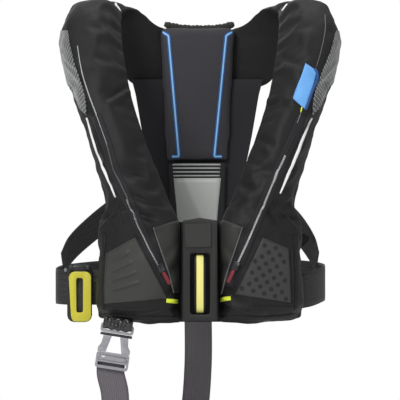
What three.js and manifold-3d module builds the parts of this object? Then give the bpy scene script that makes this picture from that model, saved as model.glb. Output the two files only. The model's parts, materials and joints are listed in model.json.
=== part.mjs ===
// Inflatable life jacket with a built-in deck harness.
// Millimetres, +Z up. The origin is the top of the binding at the back of the neck, where the
// jacket hangs. -Y is the front, and +X is the wearer's left.
import * as THREE from 'three';
import { mergeVertices } from 'three/addons/utils/BufferGeometryUtils.js';
import Module from 'manifold-3d';

const wasm = await Module();
wasm.setup();

// Overall sizes. The pattern below is drawn on the standard adult size and graded to these.
const shoulderWidth = 410;
const jacketDrop = 431;
const chestDepth = 226;
const standardSize = { width: 410, drop: 431, depth: 226 };

// Cloth, webbing and clearances
const fit = 0.5; // clearance between touching pieces
const clothWall = 2; // padded cover fabric
const linerThickness = 1.5;
const patchLift = 1.2; // height of a sewn patch above the cover
const patchThickness = 1.2;
const webThickness = 2;
const harnessWebWidth = 50;
const crotchWebWidth = 40;
const pipingRadius = 1.6;

// Back
const backPadThickness = 11;
const yokeThickness = 2.2;
const yokeFront = -6.2; // front face of the yoke
const trimWidth = 2.4;
const trimThickness = 1;

// Centre panel and soft harness loop
const centreTop = -280;
const centreGap = 1; // from the panel to each lobe's inner edge
const centreThickness = 24;
const recessWidth = 28;
const recessHeight = 88;
const recessDepth = 15;
const loopThickness = 4;
const markerWidth = 10;

// Harness release buckle
const leverWidth = 33;
const leverHeight = 72;
const leverThickness = 5;
const leverSlotWidth = 10;
const leverSlotHeight = 50;
const baseThickness = 3;
const hingePinRadius = 2;
const knuckleWall = 2.2;
const pinClearance = 0.35;
const lugWall = 2;

// Crotch strap clip
const clipRim = 4; // metal each side of the webbing
const clipThickness = 5;
const clipTilt = THREE.MathUtils.degToRad(9);
const socketHeight = 14;
const barHeight = 4;
const armHeight = 22;
const plugHeight = 24;
const clipSlotHeight = 5;
const slotClearance = 0.5;
const clipWidth = crotchWebWidth + 2 * clipRim;
const clipSlotWidth = crotchWebWidth + 2 * slotClearance;

// Gas inflator
const cylinderRadius = 13;
const cylinderLength = 84;
const inflatorWidth = 32;
const inflatorDepth = 24;
const inflatorHeight = 30;
const oralTubeRadius = 6;
const oralTubeLength = 62;

const lifejacket = new THREE.Group();

// One named mesh for each piece
function addPiece(parent, name, geometry, color, roughness = 0.8, metalness = 0) {
  const material = new THREE.MeshStandardMaterial({ color, roughness, metalness });
  const mesh = new THREE.Mesh(geometry, material);
  mesh.name = name;
  parent.add(mesh);
  return mesh;
}

// Grading moves a point of the standard pattern to this jacket's size
const gradeX = (x) => (x * shoulderWidth) / standardSize.width;
const gradeY = (y) => (y * chestDepth) / standardSize.depth;
const gradeZ = (z) => (z * jacketDrop) / standardSize.drop;
const graded = ([x, y, z]) => new THREE.Vector3(gradeX(x), gradeY(y), gradeZ(z));

// Closed solid from rings of equally many points, in order, with both ends capped
function loft(rings) {
  const count = rings[0].length;
  const positions = rings.flat().flatMap((point) => point.toArray());
  const faces = [];
  for (let row = 0; row < rings.length - 1; row++) {
    for (let k = 0; k < count; k++) {
      const a = row * count + k;
      const b = row * count + ((k + 1) % count);
      faces.push([a, b, b + count], [a, b + count, a + count]);
    }
  }
  const last = (rings.length - 1) * count;
  capTriangles(rings[0]).forEach(([a, b, c]) => faces.push([c, b, a]));
  capTriangles(rings[rings.length - 1]).forEach(([a, b, c]) => {
    faces.push([a + last, b + last, c + last]);
  });
  const geometry = new THREE.BufferGeometry();
  geometry.setAttribute('position', new THREE.Float32BufferAttribute(positions, 3));
  const inward = signedVolume(positions, faces) < 0;
  geometry.setIndex(faces.flatMap(([a, b, c]) => (inward ? [a, c, b] : [a, b, c])));
  return geometry;
}

// Triangles of a flat ring, wound the way the ring runs
function capTriangles(ring) {
  const normal = new THREE.Vector3();
  ring.forEach((point, k) => normal.add(point.clone().cross(ring[(k + 1) % ring.length])));
  normal.normalize();
  const across = ring[1].clone().sub(ring[0]).projectOnPlane(normal).normalize();
  const up = normal.clone().cross(across);
  const flat = ring.map((point) => new THREE.Vector2(point.dot(across), point.dot(up)));
  return THREE.ShapeUtils.triangulateShape(flat, []).map(([a, b, c]) => {
    const ab = flat[b].clone().sub(flat[a]);
    const ac = flat[c].clone().sub(flat[a]);
    return ab.cross(ac) > 0 ? [a, b, c] : [a, c, b];
  });
}

function signedVolume(positions, faces) {
  const corner = (k) => new THREE.Vector3().fromArray(positions, 3 * k);
  return faces.reduce((sum, [a, b, c]) => sum + corner(a).dot(corner(b).cross(corner(c))) / 6, 0);
}

// Joining and cutting closed solids
function toSolid(geometry) {
  const plain = geometry.clone();
  plain.deleteAttribute('normal');
  plain.deleteAttribute('uv');
  const merged = mergeVertices(plain, 1e-4);
  const vertProperties = new Float32Array(merged.attributes.position.array);
  const triVerts = new Uint32Array(merged.index.array);
  return new wasm.Manifold(new wasm.Mesh({ numProp: 3, vertProperties, triVerts }));
}

function toGeometry(solid) {
  const mesh = solid.getMesh();
  const geometry = new THREE.BufferGeometry();
  geometry.setAttribute('position', new THREE.Float32BufferAttribute(mesh.vertProperties, 3));
  geometry.setIndex(Array.from(mesh.triVerts));
  return geometry;
}

const joined = (...geometries) => toGeometry(geometries.map(toSolid).reduce((a, b) => a.add(b)));
const cut = (body, ...tools) => {
  return toGeometry(tools.map(toSolid).reduce((rest, tool) => rest.subtract(tool), toSolid(body)));
};

// Plate with its outline in X and Z, from frontY back over the given thickness
function plateXZ(outline, frontY, thickness, holes = []) {
  const shape = new THREE.Shape(outline.map(([x, z]) => new THREE.Vector2(x, z)));
  holes.forEach((hole) => {
    shape.holes.push(new THREE.Path(hole.map(([x, z]) => new THREE.Vector2(x, z))));
  });
  const plate = new THREE.ExtrudeGeometry(shape, { depth: thickness, bevelEnabled: false });
  return plate.rotateX(Math.PI / 2).translate(0, frontY + thickness, 0);
}

// Plate with its outline in Y and Z, centred on x
function plateYZ(outline, x, width) {
  const shape = new THREE.Shape(outline.map(([y, z]) => new THREE.Vector2(y, z)));
  const plate = new THREE.ExtrudeGeometry(shape, { depth: width, bevelEnabled: false });
  const turn = new THREE.Matrix4().makeBasis(
    new THREE.Vector3(0, 1, 0), new THREE.Vector3(0, 0, 1), new THREE.Vector3(1, 0, 0),
  );
  return plate.applyMatrix4(turn).translate(x - width / 2, 0, 0);
}

// Outline of a rectangle with round corners, centred on x and z
function roundRect(x, z, width, height, corner, steps = 3) {
  const points = [];
  [[1, 1], [-1, 1], [-1, -1], [1, -1]].forEach(([sideX, sideZ], quarter) => {
    for (let k = 0; k <= steps; k++) {
      const angle = ((quarter + k / steps) * Math.PI) / 2;
      points.push([
        x + sideX * (width / 2 - corner) + corner * Math.cos(angle),
        z + sideZ * (height / 2 - corner) + corner * Math.sin(angle),
      ]);
    }
  });
  return points;
}

// Flat webbing along a curve, its width lying along the given directions from end to end
function ribbon(points, widthDirections, width, thickness, steps) {
  const path = new THREE.CatmullRomCurve3(points.map((point) => new THREE.Vector3(...point)));
  const lay = new THREE.CatmullRomCurve3(widthDirections.map((way) => new THREE.Vector3(...way)));
  const rings = [];
  for (let k = 0; k <= steps; k++) {
    const centre = path.getPoint(k / steps);
    const along = path.getTangent(k / steps);
    const across = lay.getPoint(k / steps).projectOnPlane(along).setLength(width / 2);
    const out = along.clone().cross(across).setLength(thickness / 2);
    rings.push([[1, 1], [-1, 1], [-1, -1], [1, -1]].map(([a, b]) => {
      return centre.clone().addScaledVector(across, a).addScaledVector(out, b);
    }));
  }
  return loft(rings);
}

// Round cord or roll along a curve
function roll(points, radius, sides, steps) {
  const path = new THREE.CatmullRomCurve3(points);
  const shape = new THREE.Shape();
  for (let k = 0; k < sides; k++) {
    const angle = (2 * Math.PI * k) / sides;
    const x = radius * Math.cos(angle);
    const y = radius * Math.sin(angle);
    if (k === 0) shape.moveTo(x, y);
    else shape.lineTo(x, y);
  }
  shape.closePath();
  return new THREE.ExtrudeGeometry(shape, { extrudePath: path, steps, bevelEnabled: false });
}

// ---- Lobes: the horseshoe that holds the bladder, hem to hem round the back of the neck ----

// Stations of the left half, from the hem to the middle of the back: the inner edge, the outer
// edge and the crown height of the puffy front above the line between them.
const lobeStations = [
  { inner: [26, -220, -428], outer: [146, -168, -421], crown: 26 },
  { inner: [26, -224, -402], outer: [147, -170, -396], crown: 44 },
  { inner: [26, -226, -350], outer: [146, -176, -345], crown: 50 },
  { inner: [27, -226, -292], outer: [144, -184, -298], crown: 50 },
  { inner: [43, -222, -252], outer: [139, -190, -258], crown: 46 },
  { inner: [61, -214, -208], outer: [152, -188, -208], crown: 44 },
  { inner: [79, -202, -160], outer: [167, -178, -158], crown: 43 },
  { inner: [95, -184, -108], outer: [185, -158, -108], crown: 42 },
  { inner: [104, -162, -66], outer: [198, -130, -64], crown: 41 },
  { inner: [110, -132, -26], outer: [203, -100, -34], crown: 40 },
  { inner: [112, -96, 5], outer: [199, -68, -14], crown: 37 },
  { inner: [110, -58, 20], outer: [187, -34, -24], crown: 30 },
  { inner: [90, -24, 16], outer: [150, -6, -36], crown: 25 },
  { inner: [56, -4, -7], outer: [90, 2, -88], crown: 22 },
  { inner: [0, 1, -11], outer: [0, 2, -100], crown: 20 },
];
const middleStation = lobeStations.length - 1;
const collarStation = 11; // where the front covers meet the collar cover
const crownPower = 2.8;
const ringSteps = 10;
const stepsPerStation = 2;
const linerHeight = 0.3; // from the edge line to the liner
const linerGap = 1.6; // from the cover's wall to the liner's edge
const collarGap = 0.03; // share of a station between the front covers and the collar cover
const bladderGap = 10; // from the inflator's top to the bladder's lower end
const bladderClearance = 5;
const hemStations = [-0.14, -0.02];

// Curves through both halves, so that the middle of the back runs through smoothly
const mirrored = ([x, y, z]) => [-x, y, z];
function wholeCurve(edge) {
  const left = lobeStations.map((station) => station[edge]);
  const right = left.slice(0, -1).map(mirrored);
  return new THREE.CatmullRomCurve3([...right, ...left.reverse()].map(graded));
}
const innerCurve = wholeCurve('inner');
const outerCurve = wholeCurve('outer');

// A point runs along the curves by station: the wearer's right hem is 0, the left hem 28
const curveAt = (curve, station) => {
  const span = 2 * middleStation;
  const inside = THREE.MathUtils.clamp(station, 0, span);
  const point = curve.getPoint(inside / span);
  const beyond = station - inside;
  if (beyond === 0) return point;
  const neighbour = curve.getPoint((inside - Math.sign(beyond) * 0.2) / span);
  return point.addScaledVector(point.clone().sub(neighbour), Math.abs(beyond) / 0.2);
};

function crownAt(station) {
  const fromMiddle = Math.abs(station - middleStation);
  const own = THREE.MathUtils.clamp(middleStation - fromMiddle, 0, middleStation);
  const low = Math.min(Math.floor(own), middleStation - 1);
  const share = THREE.MathUtils.smoothstep(own - low, 0, 1);
  return THREE.MathUtils.lerp(lobeStations[low].crown, lobeStations[low + 1].crown, share);
}

// The lobe's cross-section at a station: its two edges and its outward normal
function sectionAt(station) {
  const inner = curveAt(innerCurve, station);
  const outer = curveAt(outerCurve, station);
  const before = curveAt(innerCurve, station - 0.25).add(curveAt(outerCurve, station - 0.25));
  const after = curveAt(innerCurve, station + 0.25).add(curveAt(outerCurve, station + 0.25));
  const across = outer.clone().sub(inner);
  const normal = after.sub(before).cross(across).normalize();
  return { inner, outer, across: across.normalize(), width: inner.distanceTo(outer), normal };
}

// Point of the puffy front: share 0 is the inner edge and 1 the outer edge
function crownPoint(section, crown, share, inset = 0) {
  const reach = 1 - Math.abs(2 * share - 1) ** crownPower;
  const height = Math.max(0, (crown - inset) * Math.sqrt(reach));
  const along = THREE.MathUtils.lerp(inset, section.width - inset, share);
  return section.inner.clone()
    .addScaledVector(section.across, along)
    .addScaledVector(section.normal, height);
}

const ringShares = Array.from({ length: ringSteps + 1 }, (_, k) => {
  return (1 - Math.cos((Math.PI * k) / ringSteps)) / 2;
});

// Cover: a channel of cloth, open towards the body
function coverRing(station) {
  const section = sectionAt(station);
  const crown = crownAt(station);
  const outside = ringShares.map((share) => crownPoint(section, crown, share));
  const inside = ringShares.map((share) => crownPoint(section, crown, share, clothWall));
  return [...outside, ...inside.reverse()];
}

// Liner: the flat strip that closes the channel
function linerRing(station) {
  const section = sectionAt(station);
  const edge = clothWall + linerGap;
  const line = (height, shares) => shares.map((share) => section.inner.clone()
    .addScaledVector(section.across, THREE.MathUtils.lerp(edge, section.width - edge, share))
    .addScaledVector(section.normal, height));
  const shares = [0, 0.33, 0.67, 1];
  return [...line(linerHeight, shares), ...line(linerHeight + linerThickness, shares.toReversed())];
}

// Bladder: the folded air chamber inside the channel
function bladderRing(station) {
  const section = sectionAt(station);
  const crown = crownAt(station);
  const inset = clothWall + bladderClearance;
  const shares = [0.12, 0.3, 0.5, 0.7, 0.88];
  const front = shares.map((share) => crownPoint(section, crown, share, inset));
  const back = [0.88, 0.62, 0.38, 0.12].map((share) => section.inner.clone()
    .addScaledVector(section.across, THREE.MathUtils.lerp(inset, section.width - inset, share))
    .addScaledVector(section.normal, bladderClearance));
  return [...front, ...back];
}

// Hem: the full section that closes the bottom of a pod
function hemRing(station) {
  const section = sectionAt(station);
  const crown = crownAt(station);
  return ringShares.map((share) => crownPoint(section, crown, share));
}

function loftStations(ringAt, from, to) {
  const steps = Math.max(1, Math.round(Math.abs(to - from) * stepsPerStation));
  const rings = [];
  for (let k = 0; k <= steps; k++) rings.push(ringAt(THREE.MathUtils.lerp(from, to, k / steps)));
  return loft(rings);
}

const farStation = 2 * middleStation;
const collarFar = farStation - collarStation;
const black = 0x2b2b2e;
const nearCollar = collarStation + collarGap;
addPiece(lifejacket, 'cover_right', loftStations(coverRing, 0, collarStation), black, 0.85);
addPiece(lifejacket, 'cover_left', loftStations(coverRing, farStation, collarFar), black, 0.85);
addPiece(lifejacket, 'cover_collar', loftStations(coverRing, nearCollar, farStation - nearCollar), black);
addPiece(lifejacket, 'liner_right', loftStations(linerRing, 0.05, collarStation), 0x1d1d22);
addPiece(lifejacket, 'liner_left', loftStations(linerRing, farStation - 0.05, collarFar), 0x1d1d22);
const collarLiner = loftStations(linerRing, nearCollar, farStation - nearCollar);
addPiece(lifejacket, 'liner_collar', collarLiner, 0x1d1d22);

// The cylinder stands near the pod's floor, and the bladder stops above the inflator
const cylinderBottom = gradeZ(-402.5);
const inflatorZ = cylinderBottom + cylinderLength + fit + inflatorHeight / 2;
const bladderFloor = inflatorZ + inflatorHeight / 2 + bladderGap;
const bladderEnd = solve(0, 10, bladderFloor, (station) => curveAt(outerCurve, station).z);
const bladder = loftStations(bladderRing, bladderEnd, farStation - bladderEnd);
addPiece(lifejacket, 'bladder', bladder, 0xd9d23a, 0.4);
addPiece(lifejacket, 'hem_right', loftStations(hemRing, ...hemStations), black);
addPiece(lifejacket, 'hem_left', loftStations(hemRing, ...hemStations.map((s) => farStation - s)), black);

// ---- Sewn-on pieces, placed on the front of a lobe by their pattern x and z ----

// Halves a range until the measure, which grows over it, meets the target
function solve(low, high, target, measure) {
  for (let k = 0; k < 26; k++) {
    const middle = (low + high) / 2;
    if (measure(middle) < target) low = middle;
    else high = middle;
  }
  return low;
}

// Point above the lobe's front at pattern x and z; negative x is the wearer's right
function onLobe([x, z], lift) {
  const front = (station, share) => {
    return crownPoint(sectionAt(farStation - station), crownAt(station), share);
  };
  const shareAt = (station) => {
    const section = sectionAt(farStation - station);
    const crown = crownAt(station);
    return solve(0.001, 0.99, gradeX(Math.abs(x)), (share) => crownPoint(section, crown, share).x);
  };
  const station = solve(0, 10, gradeZ(z), (own) => front(own, shareAt(own)).z);
  const share = shareAt(station);
  const point = front(station, share);
  const along = front(station + 0.05, share).sub(front(station - 0.05, share));
  const outwards = front(station, Math.min(share + 0.01, 0.995));
  const across = outwards.sub(front(station, Math.max(share - 0.01, 0.005)));
  point.addScaledVector(across.cross(along).normalize(), lift);
  return new THREE.Vector3(Math.sign(x) * point.x, point.y, point.z);
}

// Sewn patch between rows; each row gives its two ends as pattern x and z
function patch(rows, lift, thickness, stepsAcross) {
  return loft(rows.map(([from, to]) => {
    const line = [];
    for (let k = 0; k <= stepsAcross; k++) {
      const share = k / stepsAcross;
      line.push([from[0] + (to[0] - from[0]) * share, from[1] + (to[1] - from[1]) * share]);
    }
    const top = line.map((place) => onLobe(place, lift + thickness));
    const bottom = line.map((place) => onLobe(place, lift));
    return [...top, ...bottom.reverse()];
  }));
}

// Rows of a patch spaced evenly between its first and its last rows
function evenRows(rows, perSpan) {
  const mix = (a, b, share) => [a[0] + (b[0] - a[0]) * share, a[1] + (b[1] - a[1]) * share];
  const result = [rows[0]];
  for (let k = 0; k < rows.length - 1; k++) {
    for (let step = 1; step <= perSpan; step++) {
      const share = step / perSpan;
      result.push([0, 1].map((end) => mix(rows[k][end], rows[k + 1][end], share)));
    }
  }
  return result;
}

const zipLineRight = [
  [-149, -132], [-133, -176], [-124, -208], [-103, -254], [-83, -302], [-60, -349], [-47, -372],
];
const zipLineLeft = [
  [148, -134], [138, -158], [122, -192], [102, -237], [79, -291], [56, -345], [41, -378],
];
const zipTapeWidth = 16;

// Rows of a strip of even width that follows a line of pattern points
function stripRows(line, width, perSpan) {
  return evenRows(line.map(([x, z]) => [[x - width / 2, z], [x + width / 2, z]]), perSpan);
}
const zipTape = (line) => patch(stripRows(line, zipTapeWidth, 2), patchLift, patchThickness, 2);
addPiece(lifejacket, 'zip_tape_right', zipTape(zipLineRight), 0x22222a, 0.7);
addPiece(lifejacket, 'zip_tape_left', zipTape(zipLineLeft), 0x22222a, 0.7);

const wingRows = [
  [[182, -24], [188, -22]], [[180, -52], [193, -50]], [[175, -82], [190, -82]],
  [[169, -110], [181, -108]], [[168, -128], [175, -127]], [[169, -141], [171, -141]],
];
const flipRows = (rows) => rows.map((row) => row.map(([x, z]) => [-x, z]));
const sewnPatch = (rows, stepsAcross) => patch(rows, patchLift, patchThickness, stepsAcross);
addPiece(lifejacket, 'mesh_wing_right', sewnPatch(flipRows(wingRows), 3), 0x202022);
addPiece(lifejacket, 'mesh_wing_left', sewnPatch(wingRows, 3), 0x202022);

const pipingWidth = 2 * pipingRadius;
const pipingLineRight = [[-163, -136], [-148, -186], [-133, -223], [-121, -249]];
const pipingLineLeft = [[161, -136], [150, -160], [135, -199], [115, -245]];
const piping = (line) => patch(stripRows(line, pipingWidth, 2), patchLift, pipingRadius, 1);
addPiece(lifejacket, 'piping_right', piping(pipingLineRight), 0xf2f2f2);
addPiece(lifejacket, 'piping_left', piping(pipingLineLeft), 0xf2f2f2);

// Short white piping over the shoulder seam, from the crest to the inner edge
function shoulderPiping(station) {
  const rings = [0.04, 0.08, 0.13, 0.19, 0.26].map((share) => {
    return [[-0.04, 0], [0.04, 0], [0.04, 1], [-0.04, 1]].map(([along, raised]) => {
      const section = sectionAt(station + along);
      return crownPoint(section, crownAt(station + along), share)
        .addScaledVector(section.normal, patchLift + raised * pipingRadius)
        .addScaledVector(section.across, -patchLift - raised * pipingRadius);
    });
  });
  return loft(rings);
}
const shoulderSeam = 10.2;
addPiece(lifejacket, 'shoulder_piping_right', shoulderPiping(shoulderSeam), 0xf2f2f2);
addPiece(lifejacket, 'shoulder_piping_left', shoulderPiping(farStation - shoulderSeam), 0xf2f2f2);

const gussetRows = [
  [[31, -285], [63, -296]], [[31, -318], [49, -324]], [[31, -348], [39, -350]], [[31, -366], [34, -366]],
];
const pocketRows = [
  [[-129, -331], [-97, -313]], [[-133, -345], [-82, -340]],
  [[-135, -375], [-70, -368]], [[-136, -403], [-62, -393]],
];
const gripRows = [
  [[87, -307], [126, -327]], [[76, -334], [128, -350]],
  [[64, -362], [130, -378]], [[55, -388], [131, -402]],
];
const tackRows = [[[30, -395], [43, -395]], [[30, -400], [43, -400]]];
addPiece(lifejacket, 'gusset_right', sewnPatch(flipRows(gussetRows), 4), 0x3a3a3a);
addPiece(lifejacket, 'gusset_left', sewnPatch(gussetRows, 4), 0x3a3a3a);
addPiece(lifejacket, 'pocket_patch', sewnPatch(pocketRows, 6), 0x464644);
addPiece(lifejacket, 'grip_patch', sewnPatch(gripRows, 7), 0x434343);
addPiece(lifejacket, 'bar_tack_right', sewnPatch(flipRows(tackRows), 3), 0xd8ee2a);
addPiece(lifejacket, 'bar_tack_left', sewnPatch(tackRows, 3), 0xd8ee2a);

const labelRows = [
  [[152, -60], [167, -73]], [[146, -77], [161, -91]], [[141, -93], [155, -108]], [[135, -108], [151, -123]],
];
const labelLift = 1.8;
const labelThickness = 0.8;
addPiece(lifejacket, 'label_tab', patch(labelRows, labelLift, labelThickness, 3), 0x64a5e6, 0.6);

// ---- Centre panel between the pods, with the recess of the soft harness loop ----
const hemHeight = lobeStations[0].inner[2];
const centreHalfWidth = gradeX(lobeStations[0].inner[0]) - centreGap;
const panelTop = gradeZ(centreTop);
const panelBottom = gradeZ(hemHeight);
const panelBack = gradeY(-226);
const panelFront = panelBack - centreThickness;
const recessZ = gradeZ(-375);
const panelOutline = [
  [-centreHalfWidth, panelBottom], [centreHalfWidth, panelBottom],
  [centreHalfWidth, panelTop - 4], [0, panelTop], [-centreHalfWidth, panelTop - 4],
];
const recessOutline = roundRect(0, recessZ, recessWidth, recessHeight, 4);
const centrePanel = cut(
  plateXZ(panelOutline, panelFront, centreThickness),
  plateXZ(recessOutline, panelFront - 1, recessDepth + 1),
);
addPiece(lifejacket, 'centre_panel', centrePanel, 0x2e2e2f);

// The loop is an arched band that turns about the vertical line through its two ends
const loopReach = 11;
const loopLength = recessHeight - 4;
const loopWidth = 16;
const loopAxisY = panelFront + recessDepth - loopThickness - 1.5;
function archedBand(width, thickness, offset, length) {
  const band = (k) => {
    const angle = (Math.PI * k) / 10;
    const z = recessZ + (length / 2) * Math.cos(angle);
    return [z, loopAxisY - offset - loopReach * Math.sin(angle)];
  };
  const front = Array.from({ length: 11 }, (_, k) => band(k));
  const back = front.map(([z, y]) => [z, y + thickness]).reverse();
  return plateYZ([...front, ...back].map(([z, y]) => [y, z]), 0, width);
}
addPiece(lifejacket, 'soft_loop', archedBand(loopWidth, loopThickness, 0, loopLength), 0x18181a);
const markerGap = 0.4;
const markerThickness = 1;
const markerOffset = markerGap + markerThickness;
const marker = archedBand(markerWidth, markerThickness, markerOffset, loopLength);
addPiece(lifejacket, 'loop_marker', marker, 0xe8de6a);

// Outline of a flat strip along a line of points
function linePath(line, width) {
  const points = line.map(([x, z]) => new THREE.Vector2(x, z));
  const sides = points.map((point, k) => {
    const before = points[Math.max(0, k - 1)];
    const after = points[Math.min(points.length - 1, k + 1)];
    const toBefore = point.clone().sub(before).normalize();
    const toAfter = after.clone().sub(point).normalize();
    const along = toBefore.clone().add(toAfter).normalize();
    const straight = toBefore.length() && toAfter.length() ? along.dot(toAfter) : 1;
    return new THREE.Vector2(-along.y, along.x).multiplyScalar(width / 2 / straight);
  });
  const left = points.map((point, k) => point.clone().add(sides[k]));
  const right = points.map((point, k) => point.clone().sub(sides[k]));
  return [...left, ...right.reverse()].map((point) => [point.x, point.y]);
}

// ---- Back: yoke, pads and harness webbing, hanging a little to the wearer's right ----
const backOffset = -4;
const yokeBack = yokeFront + yokeThickness;
const padFront = yokeFront - fit - backPadThickness;
const yokeHalf = [[96, -78], [90, -101], [80, -160], [66, -230], [62, -300], [78, -350], [84, -396]];
const bothSides = (half) => [...half, ...half.map(([x, z]) => [-x, z]).reverse()];
const gradeOutline = (outline) => outline.map(([x, z]) => [gradeX(x) + backOffset, gradeZ(z)]);
const backPadOutline = gradeOutline(bothSides([[50, -8], [57, -14], [48, -167], [44, -197]]));
const lumbarOutline = gradeOutline(bothSides([[44, -199], [42, -290], [66, -360], [70, -390]]));
const reflectorOutline = gradeOutline(bothSides([[34, -222], [29, -284], [28, -300]]));
const trimLine = [[54, -10], [43, -15], [28, -194], [37, -194]];
const trimOutline = (side) => {
  const line = trimLine.map(([x, z]) => [gradeX(x * side) + backOffset, gradeZ(z)]);
  return linePath(line, trimWidth);
};
const yokeOutline = gradeOutline(bothSides(yokeHalf));
addPiece(lifejacket, 'back_yoke', plateXZ(yokeOutline, yokeFront, yokeThickness), 0x1e1e24);
addPiece(lifejacket, 'back_pad', plateXZ(backPadOutline, padFront, backPadThickness), 0x3d3c41);
addPiece(lifejacket, 'lumbar_pad', plateXZ(lumbarOutline, padFront, backPadThickness), 0x232326);
const trimFront = padFront - fit - trimThickness;
addPiece(lifejacket, 'back_reflector', plateXZ(reflectorOutline, trimFront, trimThickness), 0xb4b6b4, 0.4);
addPiece(lifejacket, 'blue_trim_right', plateXZ(trimOutline(-1), trimFront, trimThickness), 0x82b4e6);
addPiece(lifejacket, 'blue_trim_left', plateXZ(trimOutline(1), trimFront, trimThickness), 0x82b4e6);

const backWebTop = gradeZ(-106);
const backWebBottom = gradeZ(-392);
const backWebOutline = [
  [-harnessWebWidth / 2, backWebBottom], [harnessWebWidth / 2, backWebBottom],
  [harnessWebWidth / 2, backWebTop], [-harnessWebWidth / 2, backWebTop],
];
const backWebFront = yokeBack + fit;
addPiece(lifejacket, 'back_webbing', plateXZ(backWebOutline, backWebFront, webThickness), 0x1b1b1d);

const bindingRadius = 4.6;
const bindingSeat = 1.3; // from the binding to the collar's edge
const bindingZ = gradeZ(lobeStations[middleStation].inner[2]) + bindingSeat + bindingRadius;
const bindingLine = [[-48, -3, 0], [-26, 0, 0], [0, 1, 0], [26, 0, 0], [48, -3, 0]].map(([x, y]) => {
  const rise = (x / 56) ** 2 * 4;
  return new THREE.Vector3(gradeX(x), gradeY(y), bindingZ + rise);
});
addPiece(lifejacket, 'collar_binding', roll(bindingLine, bindingRadius, 10, 12), 0x2a2a28);

// ---- Waist belt and side straps ----
const beltY = 6 + webThickness; // the belt's middle at the back, clear of the back webbing
const upright = [0, 0, 1];
const place = (points) => points.map((point) => graded(point).toArray());
const beltGap = 1.5; // from the middle of the back to each belt end
const beltRight = place([
  [-134, -161, -381], [-160, -163, -381], [-188, -160, -381], [-205, -144, -380], [-208, -112, -378],
  [-198, -68, -374], [-165, -24, -370], [-115, 2, -366], [-62, beltY, -364], [-beltGap, beltY, -364],
]);
const beltLeft = place([
  [134, -161, -388], [156, -158, -384], [174, -134, -378], [181, -94, -374],
  [170, -46, -370], [126, -6, -366], [70, beltY, -364], [beltGap, beltY, -364],
]);
const belt = (line, steps) => ribbon(line, [upright, upright], harnessWebWidth, webThickness, steps);
addPiece(lifejacket, 'belt_right', belt(beltRight, 26), 0x1a1a1c);
addPiece(lifejacket, 'belt_left', belt(beltLeft, 22), 0x1a1a1c);

const sideRight = place([
  [-66, 4, -232], [-112, -16, -262], [-152, -52, -292], [-186, -96, -324], [-199, -122, -346],
]);
const sideLeft = place([
  [66, 4, -232], [108, -16, -262], [140, -52, -292], [162, -90, -324], [170, -112, -344],
]);
const sideWebWidth = 38;
const sideStrap = (line, side) => {
  const lay = [[side * 0.35, -0.1, 0.9], [side * 0.3, -0.35, 0.85], [side * 0.1, -0.6, 0.8]];
  return ribbon(line, lay, sideWebWidth, webThickness, 12);
};
addPiece(lifejacket, 'side_strap_right', sideStrap(sideRight, -1), 0x1a1a1c);
addPiece(lifejacket, 'side_strap_left', sideStrap(sideLeft, 1), 0x1a1a1c);

// ---- Harness release buckle on the wearer's right: base, pin and lever ----
const buckle = new THREE.Group();
buckle.position.copy(graded([-174, -161, -347]));
lifejacket.add(buckle);
const baseWidth = 36;
const baseHeight = 84;
const baseFront = -webThickness / 2 - 3 - baseThickness;
const knuckleRadius = hingePinRadius + pinClearance + knuckleWall;
const pinY = baseFront - fit - knuckleRadius;
const pinZ = -5;
const knuckleWidth = 18;
const lugWidth = 5;
const lugRadius = hingePinRadius + lugWall;
const leverTop = pinZ - 6;

const rodX = (radius, length, x, y, z, sides = 16) => {
  return new THREE.CylinderGeometry(radius, radius, length, sides).rotateZ(Math.PI / 2).translate(x, y, z);
};
const blockAt = (width, depth, height, x, y, z) => {
  return new THREE.BoxGeometry(width, depth, height).translate(x, y, z);
};
const lugs = [-1, 1].flatMap((side) => {
  const x = side * (knuckleWidth / 2 + fit + lugWidth / 2);
  const reach = baseFront + 1 - pinY;
  const web = blockAt(lugWidth, reach, 2 * lugRadius - 0.4, x, pinY + reach / 2, pinZ);
  return [rodX(lugRadius, lugWidth, x, pinY, pinZ), web];
});
const baseOutline = roundRect(0, -baseHeight / 2, baseWidth, baseHeight, 10);
const basePlate = plateXZ(baseOutline, baseFront, baseThickness);
const pinLength = knuckleWidth + 2 * (lugWidth + fit);
const pinBore = rodX(hingePinRadius + pinClearance, pinLength + 2, 0, pinY, pinZ);
addPiece(buckle, 'release_base', cut(joined(basePlate, ...lugs), pinBore), 0x1f1f20, 0.5);
addPiece(buckle, 'release_pin', rodX(hingePinRadius, pinLength, 0, pinY, pinZ, 12), 0x9a9a9e, 0.3, 0.9);

const leverBack = pinY + 2.5;
const leverOutline = roundRect(0, leverTop - leverHeight / 2, leverWidth, leverHeight, 8);
const leverSlot = roundRect(0, leverTop - leverHeight / 2 + 2, leverSlotWidth, leverSlotHeight, 3);
const leverFrame = plateXZ(leverOutline, leverBack - leverThickness, leverThickness, [leverSlot]);
const neckLength = pinZ - leverTop + 2;
const neckY = leverBack - leverThickness / 2;
const leverNeck = blockAt(knuckleWidth, leverThickness - 1, neckLength, 0, neckY, pinZ - neckLength / 2);
const leverKnuckle = rodX(knuckleRadius, knuckleWidth, 0, pinY, pinZ);
const lever = cut(joined(leverFrame, leverNeck, leverKnuckle), pinBore);
addPiece(buckle, 'release_lever', lever, 0xc8be32, 0.45);

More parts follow.
